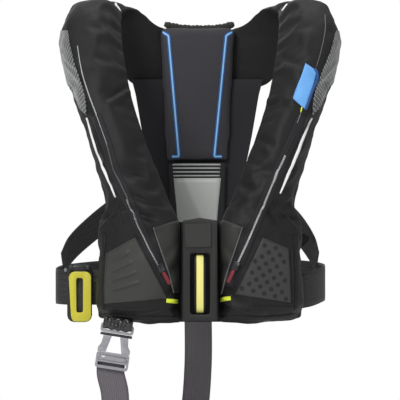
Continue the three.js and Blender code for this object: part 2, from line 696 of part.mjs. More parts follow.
// ---- Crotch strap clip, tilted as it hangs: fixed socket above, plug with two arms below ----
const clip = new THREE.Group();
clip.position.copy(graded([-118, -222, -433]));
clip.rotation.y = clipTilt;
lifejacket.add(clip);
const clipHalfDepth = clipThickness / 2;
const socketRail = 3.5;
const socketSlotHeight = 6.4;
const socketSlotZ = -socketRail - socketSlotHeight / 2;
const socketSlot = roundRect(0, socketSlotZ, clipSlotWidth, socketSlotHeight, 1.5);
const socketOutline = roundRect(0, -socketHeight / 2, clipWidth, socketHeight, 4);
const socket = plateXZ(socketOutline, -clipHalfDepth, clipThickness, [socketSlot]);
addPiece(clip, 'crotch_socket', socket, 0xa8a7ac, 0.35, 0.7);
const anchorTop = 3.5;
const anchorInside = clipHalfDepth + fit; // half the gap inside the folded webbing
const anchorOutside = anchorInside + webThickness;
const foldTop = -socketRail - 1;
const foldBottom = foldTop - webThickness - 1.1;
const anchorOutline = [
  [-anchorOutside, anchorTop], [-anchorOutside, foldBottom], [anchorOutside, foldBottom],
  [anchorOutside, anchorTop], [anchorInside, anchorTop], [anchorInside, foldTop],
  [-anchorInside, foldTop], [-anchorInside, anchorTop],
];
addPiece(clip, 'crotch_anchor', plateYZ(anchorOutline, 0, crotchWebWidth), 0x1c1c1e);
const barZ = -socketHeight - fit - barHeight / 2;
addPiece(clip, 'socket_bar', rodX(barHeight / 2, clipWidth - 2, 0, 0, barZ, 12), 0x1d1d1f, 0.5);

const armTop = barZ - barHeight / 2 - 0.8;
const armBottom = armTop - armHeight;
const armOuter = clipWidth / 2 - 0.5;
const armInset = 0.3; // the arms are thinner than the frames
const armOutline = (side) => [
  [armOuter - 17.5, armTop], [armOuter - 5.5, armTop], [armOuter - 4, armTop - armHeight / 2],
  [armOuter, armTop - 0.77 * armHeight], [armOuter, armBottom], [armOuter - 12, armBottom],
].map(([x, z]) => [x * side, z]);
const plugTop = armBottom - 0.8;
for (const [name, side] of [['plug_arm_right', -1], ['plug_arm_left', 1]]) {
  const arm = plateXZ(armOutline(side), -clipHalfDepth + armInset, clipThickness - 2 * armInset);
  addPiece(clip, name, arm, 0xa8a7ac, 0.35, 0.7);
}
const plugOutline = roundRect(0, plugTop - plugHeight / 2, clipWidth, plugHeight, 4);
const plugSlot = (z) => roundRect(0, z, clipSlotWidth, clipSlotHeight, 1.5);
const plugSlots = [plugSlot(plugTop - 7), plugSlot(plugTop - plugHeight + 6.5)];
const plug = plateXZ(plugOutline, -clipHalfDepth, clipThickness, plugSlots);
addPiece(clip, 'crotch_plug', plug, 0xa8a7ac, 0.35, 0.7);

// Strap: down from the plug, between the legs and up to the back of the waist
clip.updateMatrixWorld(true);
const fromClip = (x, y, z) => new THREE.Vector3(x, y, z).applyMatrix4(clip.matrixWorld).toArray();
const strapBehind = clipHalfDepth + fit + webThickness / 2;
const strapTop = fromClip(0, strapBehind, plugTop - 5);
const strapOut = fromClip(0, strapBehind, plugTop - plugHeight - 4);
const strapY = yokeFront + yokeThickness / 2;
const strapHang = [strapOut[0] + 6, strapOut[1] + 2, strapOut[2] - 28];
const strapLine = [
  strapTop, strapOut, strapHang,
  ...place([
    [-120, -210, -572], [-104, -184, -622], [-66, -118, -650], [-28, -52, -626], [-10, -16, -572],
  ]),
  [gradeX(-3), strapY, gradeZ(-500)],
  [gradeX(-3), strapY, gradeZ(-396) - fit - 3],
];
const strapLay = [
  [0.99, 0, -0.15], [1, 0, 0], [1, 0, 0], [0.93, -0.36, 0], [0.93, -0.36, 0], [1, 0, 0], [1, 0, 0],
];
const crotchStrap = ribbon(strapLine, strapLay, crotchWebWidth, webThickness, 30);
addPiece(lifejacket, 'crotch_strap', crotchStrap, 0x635e64);

// ---- Zip sliders and their pull tags, near the lower end of each zip ----
const sliderGap = 2.6; // clears the tape as the slider runs straight up the curved pod
const sliderLift = patchLift + patchThickness + sliderGap;
const sliderWidth = 9;
const sliderHeight = 12;
const sliderDepth = 4;
const pullWidth = 5;
const pullLength = 20;
const pullThickness = 1.4;

// Group on the lobe's front: its Z runs up the zip and its -Y points out of the cloth
function groupOnLobe(at, towards) {
  const group = new THREE.Group();
  const position = onLobe(at, sliderLift);
  const up = onLobe(towards, sliderLift).sub(position).normalize();
  const out = onLobe(at, sliderLift + 1).sub(position).normalize();
  const back = out.negate().projectOnPlane(up).normalize();
  const across = back.clone().cross(up);
  group.quaternion.setFromRotationMatrix(new THREE.Matrix4().makeBasis(across, back, up));
  group.position.copy(position);
  return group;
}
const zipStops = {
  right: [[-58, -352], [-81, -306]],
  left: [[54, -349], [74, -303]],
};
for (const [side, [at, towards]] of Object.entries(zipStops)) {
  const zip = groupOnLobe(at, towards);
  lifejacket.add(zip);
  const body = blockAt(sliderWidth, sliderDepth, sliderHeight, 0, -sliderDepth / 2, 0);
  addPiece(zip, `zip_slider_${side}`, body, 0x2b2b2d, 0.4, 0.6);
  const tagZ = -sliderHeight / 2 - 0.6 - pullLength / 2;
  const tag = plateXZ(roundRect(0, tagZ, pullWidth, pullLength, 2), -sliderDepth, pullThickness);
  addPiece(zip, `zip_pull_${side}`, tag, 0x8a1f28, 0.6);
}

// ---- Gas inflator in the wearer's right pod, standing behind the cover ----
function groupInPod(x, z, height) {
  const group = new THREE.Group();
  const own = ((panelBottom - z) / (panelBottom - gradeZ(lobeStations[3].inner[2]))) * 3;
  const section = sectionAt(x < 0 ? own : farStation - own);
  const inward = Math.abs(x) - Math.abs(section.inner.x);
  const share = inward / Math.abs(section.outer.x - section.inner.x);
  group.position.copy(section.inner).addScaledVector(section.across, share * section.width);
  group.position.addScaledVector(section.normal, height);
  group.position.z = z;
  group.rotation.z = Math.atan2(section.normal.x, -section.normal.y);
  return group;
}
const podHeight = 21;
const inflator = groupInPod(gradeX(-92), inflatorZ, podHeight);
lifejacket.add(inflator);
const neckRadius = 5;
const inflatorBody = blockAt(inflatorWidth, inflatorDepth, inflatorHeight, 0, 0, 0);
addPiece(inflator, 'inflator_body', inflatorBody, 0x202022, 0.5);
const cylinderTop = -inflatorHeight / 2 - fit;
const neckHeight = 6;
const cylinderProfile = [
  [0, -cylinderLength], [cylinderRadius - 4, -cylinderLength], [cylinderRadius, -cylinderLength + 4],
  [cylinderRadius, -neckHeight - 8], [neckRadius, -neckHeight], [neckRadius, 0], [0, 0],
].map(([radius, z]) => new THREE.Vector2(radius, z));
const gasCylinder = new THREE.LatheGeometry(cylinderProfile, 16)
  .rotateX(Math.PI / 2).translate(0, 0, cylinderTop);
addPiece(inflator, 'gas_cylinder', gasCylinder, 0xb9bcc0, 0.35, 0.8);
const capRadius = 9;
const capHeight = 9;
const capGeometry = new THREE.CylinderGeometry(capRadius, capRadius, capHeight, 16).rotateZ(Math.PI / 2);
const capX = -inflatorWidth / 2 - fit - capHeight / 2;
addPiece(inflator, 'inflator_cap', capGeometry.translate(capX, 0, 0), 0xc8be32, 0.5);
const leverArm = blockAt(4, 10, 24, inflatorWidth / 2 + fit + 2, 0, 2);
addPiece(inflator, 'firing_lever', leverArm, 0xb83a2e, 0.5);
const toggleZ = cylinderTop - 36;
const toggleX = inflatorWidth / 2 + fit + 7;
addPiece(inflator, 'pull_toggle', plateXZ(roundRect(toggleX, toggleZ, 9, 26, 4), -3, 6), 0xd23b2e, 0.5);

// ---- Oral tube with its cap in the wearer's left pod ----
const oralBottom = gradeZ(-381);
const oral = groupInPod(gradeX(90), oralBottom + oralTubeLength / 2, podHeight);
lifejacket.add(oral);
const oralCapHeight = 10;
const oralCapWall = 1.5;
const standing = (radius, height) => {
  return new THREE.CylinderGeometry(radius, radius, height, 14).rotateX(Math.PI / 2);
};
addPiece(oral, 'oral_tube', standing(oralTubeRadius, oralTubeLength), 0x26262a, 0.5);
const oralCapZ = (oralTubeLength + oralCapHeight) / 2 + fit;
const oralCap = standing(oralTubeRadius + oralCapWall, oralCapHeight).translate(0, 0, oralCapZ);
addPiece(oral, 'oral_cap', oralCap, 0xd9d23a, 0.5);

export default lifejacket;
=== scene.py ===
import json
import math
import bmesh
import bpy
import numpy as np
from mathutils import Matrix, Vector, noise
from mathutils.bvhtree import BVHTree

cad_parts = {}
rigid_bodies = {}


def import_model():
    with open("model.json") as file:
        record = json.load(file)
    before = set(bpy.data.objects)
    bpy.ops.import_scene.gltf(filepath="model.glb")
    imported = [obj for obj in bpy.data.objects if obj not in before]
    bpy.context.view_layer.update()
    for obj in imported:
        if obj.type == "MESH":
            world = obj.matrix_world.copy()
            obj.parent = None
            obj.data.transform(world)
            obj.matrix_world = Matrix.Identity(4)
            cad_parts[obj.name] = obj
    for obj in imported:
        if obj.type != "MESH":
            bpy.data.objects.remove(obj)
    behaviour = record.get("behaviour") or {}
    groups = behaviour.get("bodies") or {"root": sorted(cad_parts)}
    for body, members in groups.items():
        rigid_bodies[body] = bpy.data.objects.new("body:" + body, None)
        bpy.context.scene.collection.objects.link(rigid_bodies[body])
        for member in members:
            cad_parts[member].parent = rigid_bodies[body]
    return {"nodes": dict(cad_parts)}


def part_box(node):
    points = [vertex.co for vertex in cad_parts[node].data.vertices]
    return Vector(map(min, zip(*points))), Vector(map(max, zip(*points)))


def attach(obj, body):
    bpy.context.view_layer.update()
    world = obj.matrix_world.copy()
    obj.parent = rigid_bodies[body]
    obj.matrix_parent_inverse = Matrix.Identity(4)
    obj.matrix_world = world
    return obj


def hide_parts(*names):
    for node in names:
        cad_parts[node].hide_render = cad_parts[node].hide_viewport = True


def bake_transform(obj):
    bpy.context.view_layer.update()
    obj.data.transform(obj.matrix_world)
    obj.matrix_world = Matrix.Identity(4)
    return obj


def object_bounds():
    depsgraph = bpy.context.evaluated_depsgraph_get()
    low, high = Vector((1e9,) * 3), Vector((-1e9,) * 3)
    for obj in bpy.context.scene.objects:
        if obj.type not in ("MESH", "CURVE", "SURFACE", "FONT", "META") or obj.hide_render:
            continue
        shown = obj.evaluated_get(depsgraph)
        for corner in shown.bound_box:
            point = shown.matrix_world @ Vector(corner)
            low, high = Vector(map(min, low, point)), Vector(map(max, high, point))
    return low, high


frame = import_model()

scene = bpy.context.scene
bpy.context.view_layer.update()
mm = 0.001

# camera and light

view = {"lens": 900.0, "frameWidth": 0.580, "aim": (0.0, -0.12, -0.2545)}


def makeCamera():
    data = bpy.data.cameras.new("camera")
    data.lens = view["lens"]
    distance = view["frameWidth"] / data.sensor_width * data.lens
    camera = bpy.data.objects.new("camera", data)
    x, y, z = view["aim"]
    camera.location = (x, y - distance, z)
    camera.rotation_euler = (math.radians(90), 0, 0)
    data.clip_end = 50
    scene.collection.objects.link(camera)
    scene.camera = camera


lamps = [
    {"name": "keyLight", "at": (-1.3, -2.4, 1.5), "size": 1.0, "power": 62},
    {"name": "fillLight", "at": (1.9, -2.0, 0.4), "size": 1.8, "power": 12},
    {"name": "topLight", "at": (0.2, 0.4, 1.9), "size": 1.4, "power": 16},
    {"name": "backLight", "at": (-0.8, 2.4, 0.9), "size": 1.6, "power": 12},
]


def makeLights():
    for lamp in lamps:
        data = bpy.data.lights.new(lamp["name"], "AREA")
        data.size = lamp["size"]
        data.energy = lamp["power"]
        light = bpy.data.objects.new(lamp["name"], data)
        light.location = lamp["at"]
        toObject = Vector((0, -0.1, -0.25)) - light.location
        light.rotation_euler = toObject.to_track_quat("-Z", "Y").to_euler()
        scene.collection.objects.link(light)
    world = bpy.data.worlds.new("studio")
    world.use_nodes = True
    background = world.node_tree.nodes["Background"]
    background.inputs["Color"].default_value = (1, 1, 1, 1)
    # the backdrop is white, and the light it throws on the object is softer
    seen = world.node_tree.nodes.new("ShaderNodeLightPath")
    strength = world.node_tree.nodes.new("ShaderNodeMapRange")
    strength.inputs["To Min"].default_value = 0.38
    strength.inputs["To Max"].default_value = 1.0
    world.node_tree.links.new(seen.outputs["Is Camera Ray"], strength.inputs["Value"])
    world.node_tree.links.new(strength.outputs["Result"], background.inputs["Strength"])
    scene.world = world
    scene.view_settings.view_transform = "Standard"


makeCamera()
makeLights()
print("camera and light ready")

# node helpers


def srgb(code):
    # linear colour of a hex code
    parts = [v / 255 for v in bytes.fromhex(code)]
    return (*[v / 12.92 if v <= 0.04045 else ((v + 0.055) / 1.055) ** 2.4 for v in parts], 1.0)


class Tree:
    # thin wrapper that adds nodes and links them by name
    def __init__(self, tree):
        self.tree = tree

    def add(self, kind, links=None, **settings):
        node = self.tree.nodes.new(kind)
        for key, value in settings.items():
            setattr(node, key, value)
        for key, value in (links or {}).items():
            socket = node.inputs[key]
            if isinstance(value, bpy.types.NodeSocket):
                self.tree.links.new(value, socket)
            else:
                socket.default_value = value
        return node

    def link(self, output, socket):
        self.tree.links.new(output, socket)

    def use(self, group, links):
        return self.add("ShaderNodeGroup", links, node_tree=group).outputs

    def math(self, operation, a, b=0.0):
        return self.add("ShaderNodeMath", {0: a, 1: b}, operation=operation).outputs[0]

    def mix(self, factor, a, b, blend="MIX"):
        node = self.add("ShaderNodeMix", {0: factor, 6: a, 7: b}, data_type="RGBA", blend_type=blend)
        return node.outputs[2]

    def noise(self, place, scale, detail, **more):
        links = {"Vector": place, "Scale": scale, "Detail": detail, **more}
        return self.add("ShaderNodeTexNoise", links).outputs["Fac"]

    def ramp(self, value, low, high, outLow=0.0, outHigh=1.0):
        node = self.add("ShaderNodeMapRange", {0: value, 1: low, 2: high, 3: outLow, 4: outHigh})
        return node.outputs[0]


def shaderGroup(name, inputs, outputs):
    group = bpy.data.node_groups.new(name, "ShaderNodeTree")
    for label, value in inputs.items():
        kind = "NodeSocketVector" if isinstance(value, tuple) else "NodeSocketFloat"
        group.interface.new_socket(label, in_out="INPUT", socket_type=kind).default_value = value
    for label in outputs:
        group.interface.new_socket(label, in_out="OUTPUT", socket_type="NodeSocketFloat")
    tree = Tree(group)
    return group, tree, tree.add("NodeGroupInput").outputs, tree.add("NodeGroupOutput").inputs


def makeWeaveGroup():
    # over-and-under threads on a given pair of directions; height and a thread mask
    group, tree, given, made = shaderGroup(
        "clothWeave", {"Vector": (0, 0, 0), "Threads": 900.0, "Ripstop": 0.0, "Ripstop Spacing": 12.0},
        ["Height", "Shade"])
    parts = tree.add("ShaderNodeSeparateXYZ", {0: given["Vector"]}).outputs
    turns = [tree.math("MULTIPLY", parts[axis], given["Threads"]) for axis in (0, 1)]
    waves = [tree.math("SINE", turn) for turn in turns]
    over = tree.math("GREATER_THAN", tree.math("MULTIPLY", *waves), 0.0)
    threads = [tree.math("ABSOLUTE", wave) for wave in waves]
    height = tree.add("ShaderNodeMix", {0: over, 2: threads[0], 3: threads[1]}).outputs[0]
    spacing = tree.math("MULTIPLY", given["Ripstop Spacing"], math.pi)
    ribs = [tree.ramp(tree.math("FRACT", tree.math("DIVIDE", turn, spacing)), 0.0, 0.14, 1.0, 0.0) for turn in turns]
    rib = tree.math("MULTIPLY", tree.math("MAXIMUM", *ribs), given["Ripstop"])
    for label, share in (("Height", 0.7), ("Shade", 0.5)):
        tree.link(tree.math("ADD", tree.math("MULTIPLY", height, share), rib), made[label])
    return group


def makeToneGroup():
    # soft blotches and fine specks, so that no cloth or plastic is one flat tone
    group, tree, given, made = shaderGroup(
        "unevenTone", {"Vector": (0, 0, 0), "Broad Scale": 9.0, "Fine Scale": 700.0, "Amount": 0.3},
        ["Tone", "Grain"])
    broad, fine = [tree.noise(given["Vector"], given[scale], detail) for scale,
                   detail in (("Broad Scale", 3.0), ("Fine Scale", 2.0))]
    speck = tree.math("MULTIPLY", tree.math("SUBTRACT", fine, 0.5), 0.6)
    spread = tree.math("MULTIPLY", tree.math("ADD", tree.math("SUBTRACT", broad, 0.5), speck), given["Amount"])
    tree.link(tree.math("ADD", tree.math("MULTIPLY", spread, 2.0), 0.5), made["Tone"])
    tree.link(fine, made["Grain"])
    return group


def makeEdgeGroup():
    # lighter, rubbed corners where the surface turns
    group, tree, given, made = shaderGroup("rubbedEdges", {"Low": 0.52, "High": 0.62, "Breakup": 120.0}, ["Mask"])
    edge = tree.ramp(tree.add("ShaderNodeNewGeometry").outputs["Pointiness"], given["Low"], given["High"])
    speckle = tree.noise(tree.add("ShaderNodeTexCoord").outputs["Object"], given["Breakup"], 3.0)
    tree.link(tree.math("MULTIPLY", edge, tree.ramp(speckle, 0.35, 0.6)), made["Mask"])
    return group


weaveGroup = makeWeaveGroup()
toneGroup = makeToneGroup()
edgeGroup = makeEdgeGroup()


def newMaterial(name, **uniform):
    material = bpy.data.materials.new(name)
    material.use_nodes = True
    shader = material.node_tree.nodes["Principled BSDF"]
    for key, value in uniform.items():
        shader.inputs[key.replace("_", " ")].default_value = value
    tree = Tree(material.node_tree)
    return material, tree, shader.inputs, tree.add("ShaderNodeTexCoord").outputs


def paint(tree, shader, colour, tone, rough, spread=0.08):
    tree.link(colour, shader["Base Color"])
    tree.link(tree.ramp(tone["Tone"], 0.0, 1.0, rough - spread, rough + spread), shader["Roughness"])


def emboss(tree, shader, *layers):
    # each layer is a strength, a depth in metres and a height; the next one lies on it
    under = {}
    for strength, depth, height in layers:
        bump = tree.add("ShaderNodeBump", {"Strength": strength, "Distance": depth, "Height": height, **under})
        under = {"Normal": bump.outputs["Normal"]}
    tree.link(under["Normal"], shader["Normal"])


def frontPlace(tree, place):
    # x and z first, so that a weave runs over the front and the back alike
    parts = tree.add("ShaderNodeSeparateXYZ", {0: place}).outputs
    slanted = tree.math("ADD", parts[0], tree.math("MULTIPLY", parts[1], 0.62))
    return tree.add("ShaderNodeCombineXYZ", {0: slanted, 1: parts[2], 2: parts[1]}).outputs[0]


def clothMaterial(name, look):
    material, tree, shader, coords = newMaterial(
        name, Sheen_Weight=look.get("sheen", 0.04), Sheen_Roughness=0.5, Specular_IOR_Level=look.get("specular", 0.4))
    place = coords["Object"]
    weave = tree.use(weaveGroup, {
        "Vector": frontPlace(tree, place), "Threads": look["threads"],
        "Ripstop": look.get("ripstop", 0.0), "Ripstop Spacing": look.get("spacing", 12.0),
    })
    tone = tree.use(toneGroup,
                    {"Vector": place, "Amount": look.get("uneven", 0.35), "Broad Scale": look.get("broad", 11.0)})
    base = tree.mix(tone["Tone"], look["dark"], look["light"])
    paint(tree, shader, tree.mix(tree.math("MULTIPLY", weave["Shade"], 0.35), base, look["accent"]), tone,
          look["rough"], 0.06)
    crumple = tree.noise(place, look.get("crumple", 60.0), 4.0, Roughness=0.6)
    emboss(tree, shader, (look.get("bump", 0.35), 0.0004, weave["Height"]),
           (look.get("crumpleBump", 0.25), 0.003, crumple))
    return material


def plasticMaterial(name, look):
    material, tree, shader, coords = newMaterial(name, Metallic=look.get("metal", 0.0),
                                                 Coat_Weight=look.get("coat", 0.0))
    tone = tree.use(toneGroup, {"Vector": coords["Object"], "Amount": 0.25, "Broad Scale": 25.0,
                                "Fine Scale": 1800.0})
    edge = tree.use(edgeGroup, {})["Mask"]
    base = tree.mix(tone["Tone"], look["dark"], look["light"])
    paint(tree, shader, tree.mix(tree.math("MULTIPLY", edge, look.get("wear", 0.35)), base, look["accent"]), tone,
          look["rough"])
    emboss(tree, shader, (look.get("bump", 0.12), 0.0003, tone["Grain"]))
    return material


def tones(colours, rough, **more):
    # a look: its dark, light and accent colour, then what differs from the defaults
    dark, light, accent = [srgb(code) for code in colours.split()]
    return {"dark": dark, "light": light, "accent": accent, "rough": rough, **more}


clothLooks = {
    "coverCloth": tones("0a0a0b 161616 262625", 0.6, threads=1500.0, ripstop=0.25, spacing=10.0, sheen=0.015,
                        specular=0.3, crumpleBump=0.35, crumple=45.0),
    "podCloth": tones("0a0a0a 161615 242423", 0.62, threads=1100.0, sheen=0.015, specular=0.3, crumpleBump=0.15),
    "liningCloth": tones("101015 1b1b21 2c2c33", 0.7, threads=1800.0, crumpleBump=0.3, crumple=22.0),
    "padCloth": tones("242328 353339 48464c", 0.68, threads=1300.0, uneven=0.5, broad=7.0, crumpleBump=0.12),
    "lumbarCloth": tones("141417 212124 323234", 0.7, threads=1300.0),
    "bindingCloth": tones("1c1c1a 30302c 484842", 0.8, threads=900.0, crumpleBump=0.5, crumple=160.0),
    "zipTape": tones("0f0f13 1c1c21 32323a", 0.75, threads=2600.0, crumpleBump=0.05),
    "meshBase": tones("141416 222224 3c3c3c", 0.8, threads=1400.0, bump=0.6),
    "panelCloth": tones("1c1c1b 2c2c2a 3c3c3a", 0.55, threads=1600.0, crumpleBump=0.06, bump=0.2),
    "centreCloth": tones("131313 212120 323230", 0.58, threads=1500.0, crumpleBump=0.12, crumple=30.0),
    "patchCloth": tones("1e1e1e 2c2c2b 4a4a48", 0.6, threads=1000.0, crumpleBump=0.05, bump=0.6),
    "pocketCloth": tones("2a2a28 3a3a37 4a4a46", 0.6, threads=1700.0, crumpleBump=0.05, bump=0.2),
    "gripCloth": tones("2a2a2a 393938 4a4a49", 0.6, threads=1700.0, crumpleBump=0.05, bump=0.2),
    "whitePiping": tones("e1e1e1 fafafa ffffff", 0.5, threads=2500.0, uneven=0.15, crumpleBump=0.02),
    "whiteThread": tones("aaaaaa dcdcdc f0f0f0", 0.6, threads=3000.0, crumpleBump=0.02),
    # grey thread for the left front seam and the right zip's teeth; the same grey is the painted highlight along the
    # gusset edges
    "greyThread": tones("545454 707070 828282", 0.6, threads=3000.0, crumpleBump=0.02),
    "darkThread": tones("0e0e0f 181819 222224", 0.7, threads=3000.0, crumpleBump=0.02),
    "neonThread": tones("c4d61e ecfa3c f6ff78", 0.55, threads=4200.0, crumpleBump=0.02, uneven=0.2),
    "labelCloth": tones("5698de 72b2f0 8cc4f8", 0.6, threads=2600.0, crumpleBump=0.04, uneven=0.2),
    "labelEdge": tones("183e74 285896 3c6eaa", 0.6, threads=2600.0, crumpleBump=0.04),
    "blueTrim": tones("68a8e2 96ccf6 aad8fa", 0.45, threads=2600.0, crumpleBump=0.02, uneven=0.2),
    "markerCloth": tones("d6ce54 f8f296 fcf8b4", 0.55, threads=2200.0, crumpleBump=0.05, uneven=0.3),
    "redCord": tones("58121a 802028 963238", 0.6, threads=3000.0),
    "loopCloth": tones("0a0a0c 161619 2c2c31", 0.5, threads=900.0, crumpleBump=0.1),
    "wrapCloth": tones("080809 121214 38383c", 0.24, threads=1200.0, specular=0.8, crumpleBump=0.6, crumple=90.0),
    "silverThread": tones("969898 bec0c0 d4d4d4", 0.45, threads=2800.0, crumpleBump=0.02),
}
materials = {name: clothMaterial(name, look) for name, look in clothLooks.items()}

plasticLooks = {
    "blackPlastic": tones("141415 242425 505050", 0.45),
    "yellowPlastic": tones("bab224 d6cd3a eee882", 0.42, coat=0.1),
    "clipMetal": tones("8a8a8f b0b0b5 d8d8dc", 0.38, metal=0.55, bump=0.06),
    "pinSteel": tones("96969a b8b8bc dcdcde", 0.28, metal=1.0),
    "cylinderSteel": tones("a0a2a6 c6c8cc e2e2e4", 0.32, metal=0.9),
    "redPlastic": tones("b22c22 d24032 e88274", 0.42),
    "zipMetal": tones("1e1e20 38383c 828286", 0.35, metal=0.6),
    "bladderFilm": tones("c8be28 e2da46 f0ec96", 0.35),
    "gripDots": tones("060607 0e0e0f 161616", 0.6, wear=0.1),
}
materials.update({name: plasticMaterial(name, look) for name, look in plasticLooks.items()})
print("materials ready:", len(materials))

# mesh helpers


def meshObject(name, points, faces, look, uvs=None, smooth=True):
    mesh = bpy.data.meshes.new(name)
    mesh.from_pydata([tuple(p) for p in points], [], faces)
    if uvs is not None:
        layer = mesh.uv_layers.new(name="UVMap")
        order = np.array([loop.vertex_index for loop in mesh.loops])
        layer.data.foreach_set("uv", np.array(uvs, np.float32)[order].ravel())
    mesh.update()
    shape = bmesh.new()
    shape.from_mesh(mesh)
    bmesh.ops.recalc_face_normals(shape, faces=shape.faces)
    if shape.calc_volume(signed=True) < 0:
        bmesh.ops.reverse_faces(shape, faces=shape.faces)
    shape.to_mesh(mesh)
    shape.free()
    mesh.polygons.foreach_set("use_smooth", [smooth] * len(mesh.polygons))
    mesh.materials.append(materials[look])
    return shown(name, mesh)


def shown(name, mesh):
    made = bpy.data.objects.new(name, mesh)
    scene.collection.objects.link(made)
    return made


def settle(piece, slot, *nodes, body="root"):
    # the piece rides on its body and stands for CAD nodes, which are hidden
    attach(piece, body)
    if nodes:
        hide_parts(*nodes)
    return piece


def unit(v):
    return v / np.linalg.norm(v)


def besides(grid):
    # sum of each inner cell's four neighbours
    return grid[:-2, 1:-1] + grid[2:, 1:-1] + grid[1:-1, :-2] + grid[1:-1, 2:]


def relax(values, rounds=4):
    for _ in range(rounds):
        values[1:-1] = (values[:-2] + 2 * values[1:-1] + values[2:]) / 4


def meshPoints(piece, what="co"):
    points = np.empty(len(piece.data.vertices) * 3)
    piece.data.vertices.foreach_get(what, points)
    return points.reshape(-1, 3)


def setPoints(piece, points):
    piece.data.vertices.foreach_set("co", np.asarray(points, np.float32).ravel())
    piece.data.update()


def bake(piece):
    # turns the modifiers' result into a plain mesh
    graph = bpy.context.evaluated_depsgraph_get()
    graph.update()
    mesh = bpy.data.meshes.new_from_object(piece.evaluated_get(graph), depsgraph=graph)
    old = piece.data
    piece.modifiers.clear()
    piece.data = mesh
    mesh.name = piece.name
    bpy.data.meshes.remove(old)
    return piece


def subdivide(piece, levels=1):
    modifier = piece.modifiers.new("subdivide", "SUBSURF")
    modifier.levels = modifier.render_levels = levels
    return bake(piece)


def centripetal(points, at):
    # smooth curve through the points; at runs from 0 to the last point's index
    points = np.asarray(points, float)
    last = len(points) - 1
    padded = np.vstack([2 * points[0] - points[1], points, 2 * points[-1] - points[-2]])
    k = min(int(max(at, 0.0)), last - 1)
    share = at - k
    p = padded[k:k + 4]
    d = [max(np.linalg.norm(p[i + 1] - p[i]) ** 0.5, 1e-6) for i in range(3)]
    leave = ((p[1] - p[0]) / d[0] - (p[2] - p[0]) / (d[0] + d[1]) + (p[2] - p[1]) / d[1]) * d[1]
    reach = ((p[2] - p[1]) / d[1] - (p[3] - p[1]) / (d[1] + d[2]) + (p[3] - p[2]) / d[2]) * d[1]
    s, s2, s3 = share, share ** 2, share ** 3
    return p[1] * (2 * s3 - 3 * s2 + 1) + leave * (s3 - 2 * s2 + s) + p[2] * (3 * s2 - 2 * s3) + reach * (s3 - s2)


def evenly(points, spacing):
    # points at even steps along the smooth curve
    count = len(points) - 1
    fine = np.array([centripetal(points, t) for t in np.linspace(0, count, count * 16 + 1)])
    steps = np.linalg.norm(np.diff(fine, axis=0), axis=1)
    along = np.concatenate([[0], np.cumsum(steps)])
    wanted = np.linspace(0, along[-1], max(2, int(round(along[-1] / spacing)) + 1))
    return np.column_stack([np.interp(wanted, along, fine[:, axis]) for axis in range(fine.shape[1])])


def loftFaces(rows, ring, closed=True, caps=True):
    faces = []
    for r in range(rows - 1):
        for k in range(ring if closed else ring - 1):
            a = r * ring + k
            b = r * ring + (k + 1) % ring
            faces.append((a, b, b + ring, a + ring))
    if caps and closed:
        faces.append(tuple(reversed(range(ring))))
        faces.append(tuple(range((rows - 1) * ring, rows * ring)))
    return faces


# lobes

# each station, in millimetres: inner edge, outer edge and crown height, hem to middle of the back
lobeStations = [
    ((26, -220, -428), (146, -168, -421), 26), ((26, -224, -402), (147, -170, -396), 44),
    ((26, -226, -350), (146, -176, -345), 50), ((27, -226, -292), (144, -184, -298), 50),
    ((43, -222, -252), (139, -190, -258), 46), ((61, -214, -208), (152, -188, -208), 44),
    ((79, -202, -160), (167, -178, -158), 43), ((95, -184, -108), (185, -158, -108), 42),
    ((104, -162, -66), (198, -130, -64), 41), ((110, -132, -26), (203, -100, -34), 40),
    ((112, -96, 5), (199, -68, -14), 37), ((110, -58, 20), (187, -34, -24), 30),
    ((91, -24, 24), (150, -6, -36), 25), ((58, -4, 1), (90, 2, -88), 22), ((0, 1, -11), (0, 2, -100), 20),
]
middle = len(lobeStations) - 1
lobe = {"crownPower": 2.8, "collarStation": 11.0, "rowSpacing": 6.0, "frontPoints": 26, "backPoints": 12,
        "pressure": 3.2, "slack": -0.06, "moveLimit": 7.0, "hemStation": -0.16}


def wholeLine(pick):
    left = [np.array(station[pick], float) for station in lobeStations]
    right = [p * (-1, 1, 1) for p in left[:-1]]
    return np.array(right + left[::-1])


innerLine, outerLine = wholeLine(0), wholeLine(1)
crowns = [station[2] for station in lobeStations]


def lineAt(line, station):
    inside = min(max(station, 0.0), 2.0 * middle)
    point = centripetal(line, inside)
    if station == inside:
        return point
    back = centripetal(line, inside - math.copysign(0.2, station - inside))
    return point + (point - back) * abs(station - inside) / 0.2


def crownAt(station):
    own = min(max(middle - abs(station - middle), 0.0), middle)
    low = min(int(own), middle - 1)
    share = own - low
    share = share * share * (3 - 2 * share)
    return crowns[low] + (crowns[low + 1] - crowns[low]) * share


def sectionAt(station):
    inner, outer = lineAt(innerLine, station), lineAt(outerLine, station)
    ahead = lineAt(innerLine, station + 0.25) + lineAt(outerLine, station + 0.25)
    behind = lineAt(innerLine, station - 0.25) + lineAt(outerLine, station - 0.25)
    across = outer - inner
    width = np.linalg.norm(across)
    normal = np.cross(ahead - behind, across)
    return inner, across / width, width, normal / np.linalg.norm(normal)


def lobeRing(station, shrink=0.0, flatBack=2.0):
    inner, across, width, normal = sectionAt(station)
    crown = max(0.0, crownAt(station) - shrink)
    spots = []
    for share in [(1 - math.cos(math.pi * k / lobe["frontPoints"])) / 2 for k in range(lobe["frontPoints"] + 1)]:
        spots.append((share, crown * math.sqrt(max(1 - abs(2 * share - 1) ** lobe["crownPower"], 0.0))))
    for share in [1 - k / lobe["backPoints"] for k in range(1, lobe["backPoints"])]:
        spots.append((share, -flatBack * math.sin(math.pi * share) ** 0.5))
    return [inner + across * (shrink + (width - 2 * shrink) * share) + normal * rise for share, rise in spots]


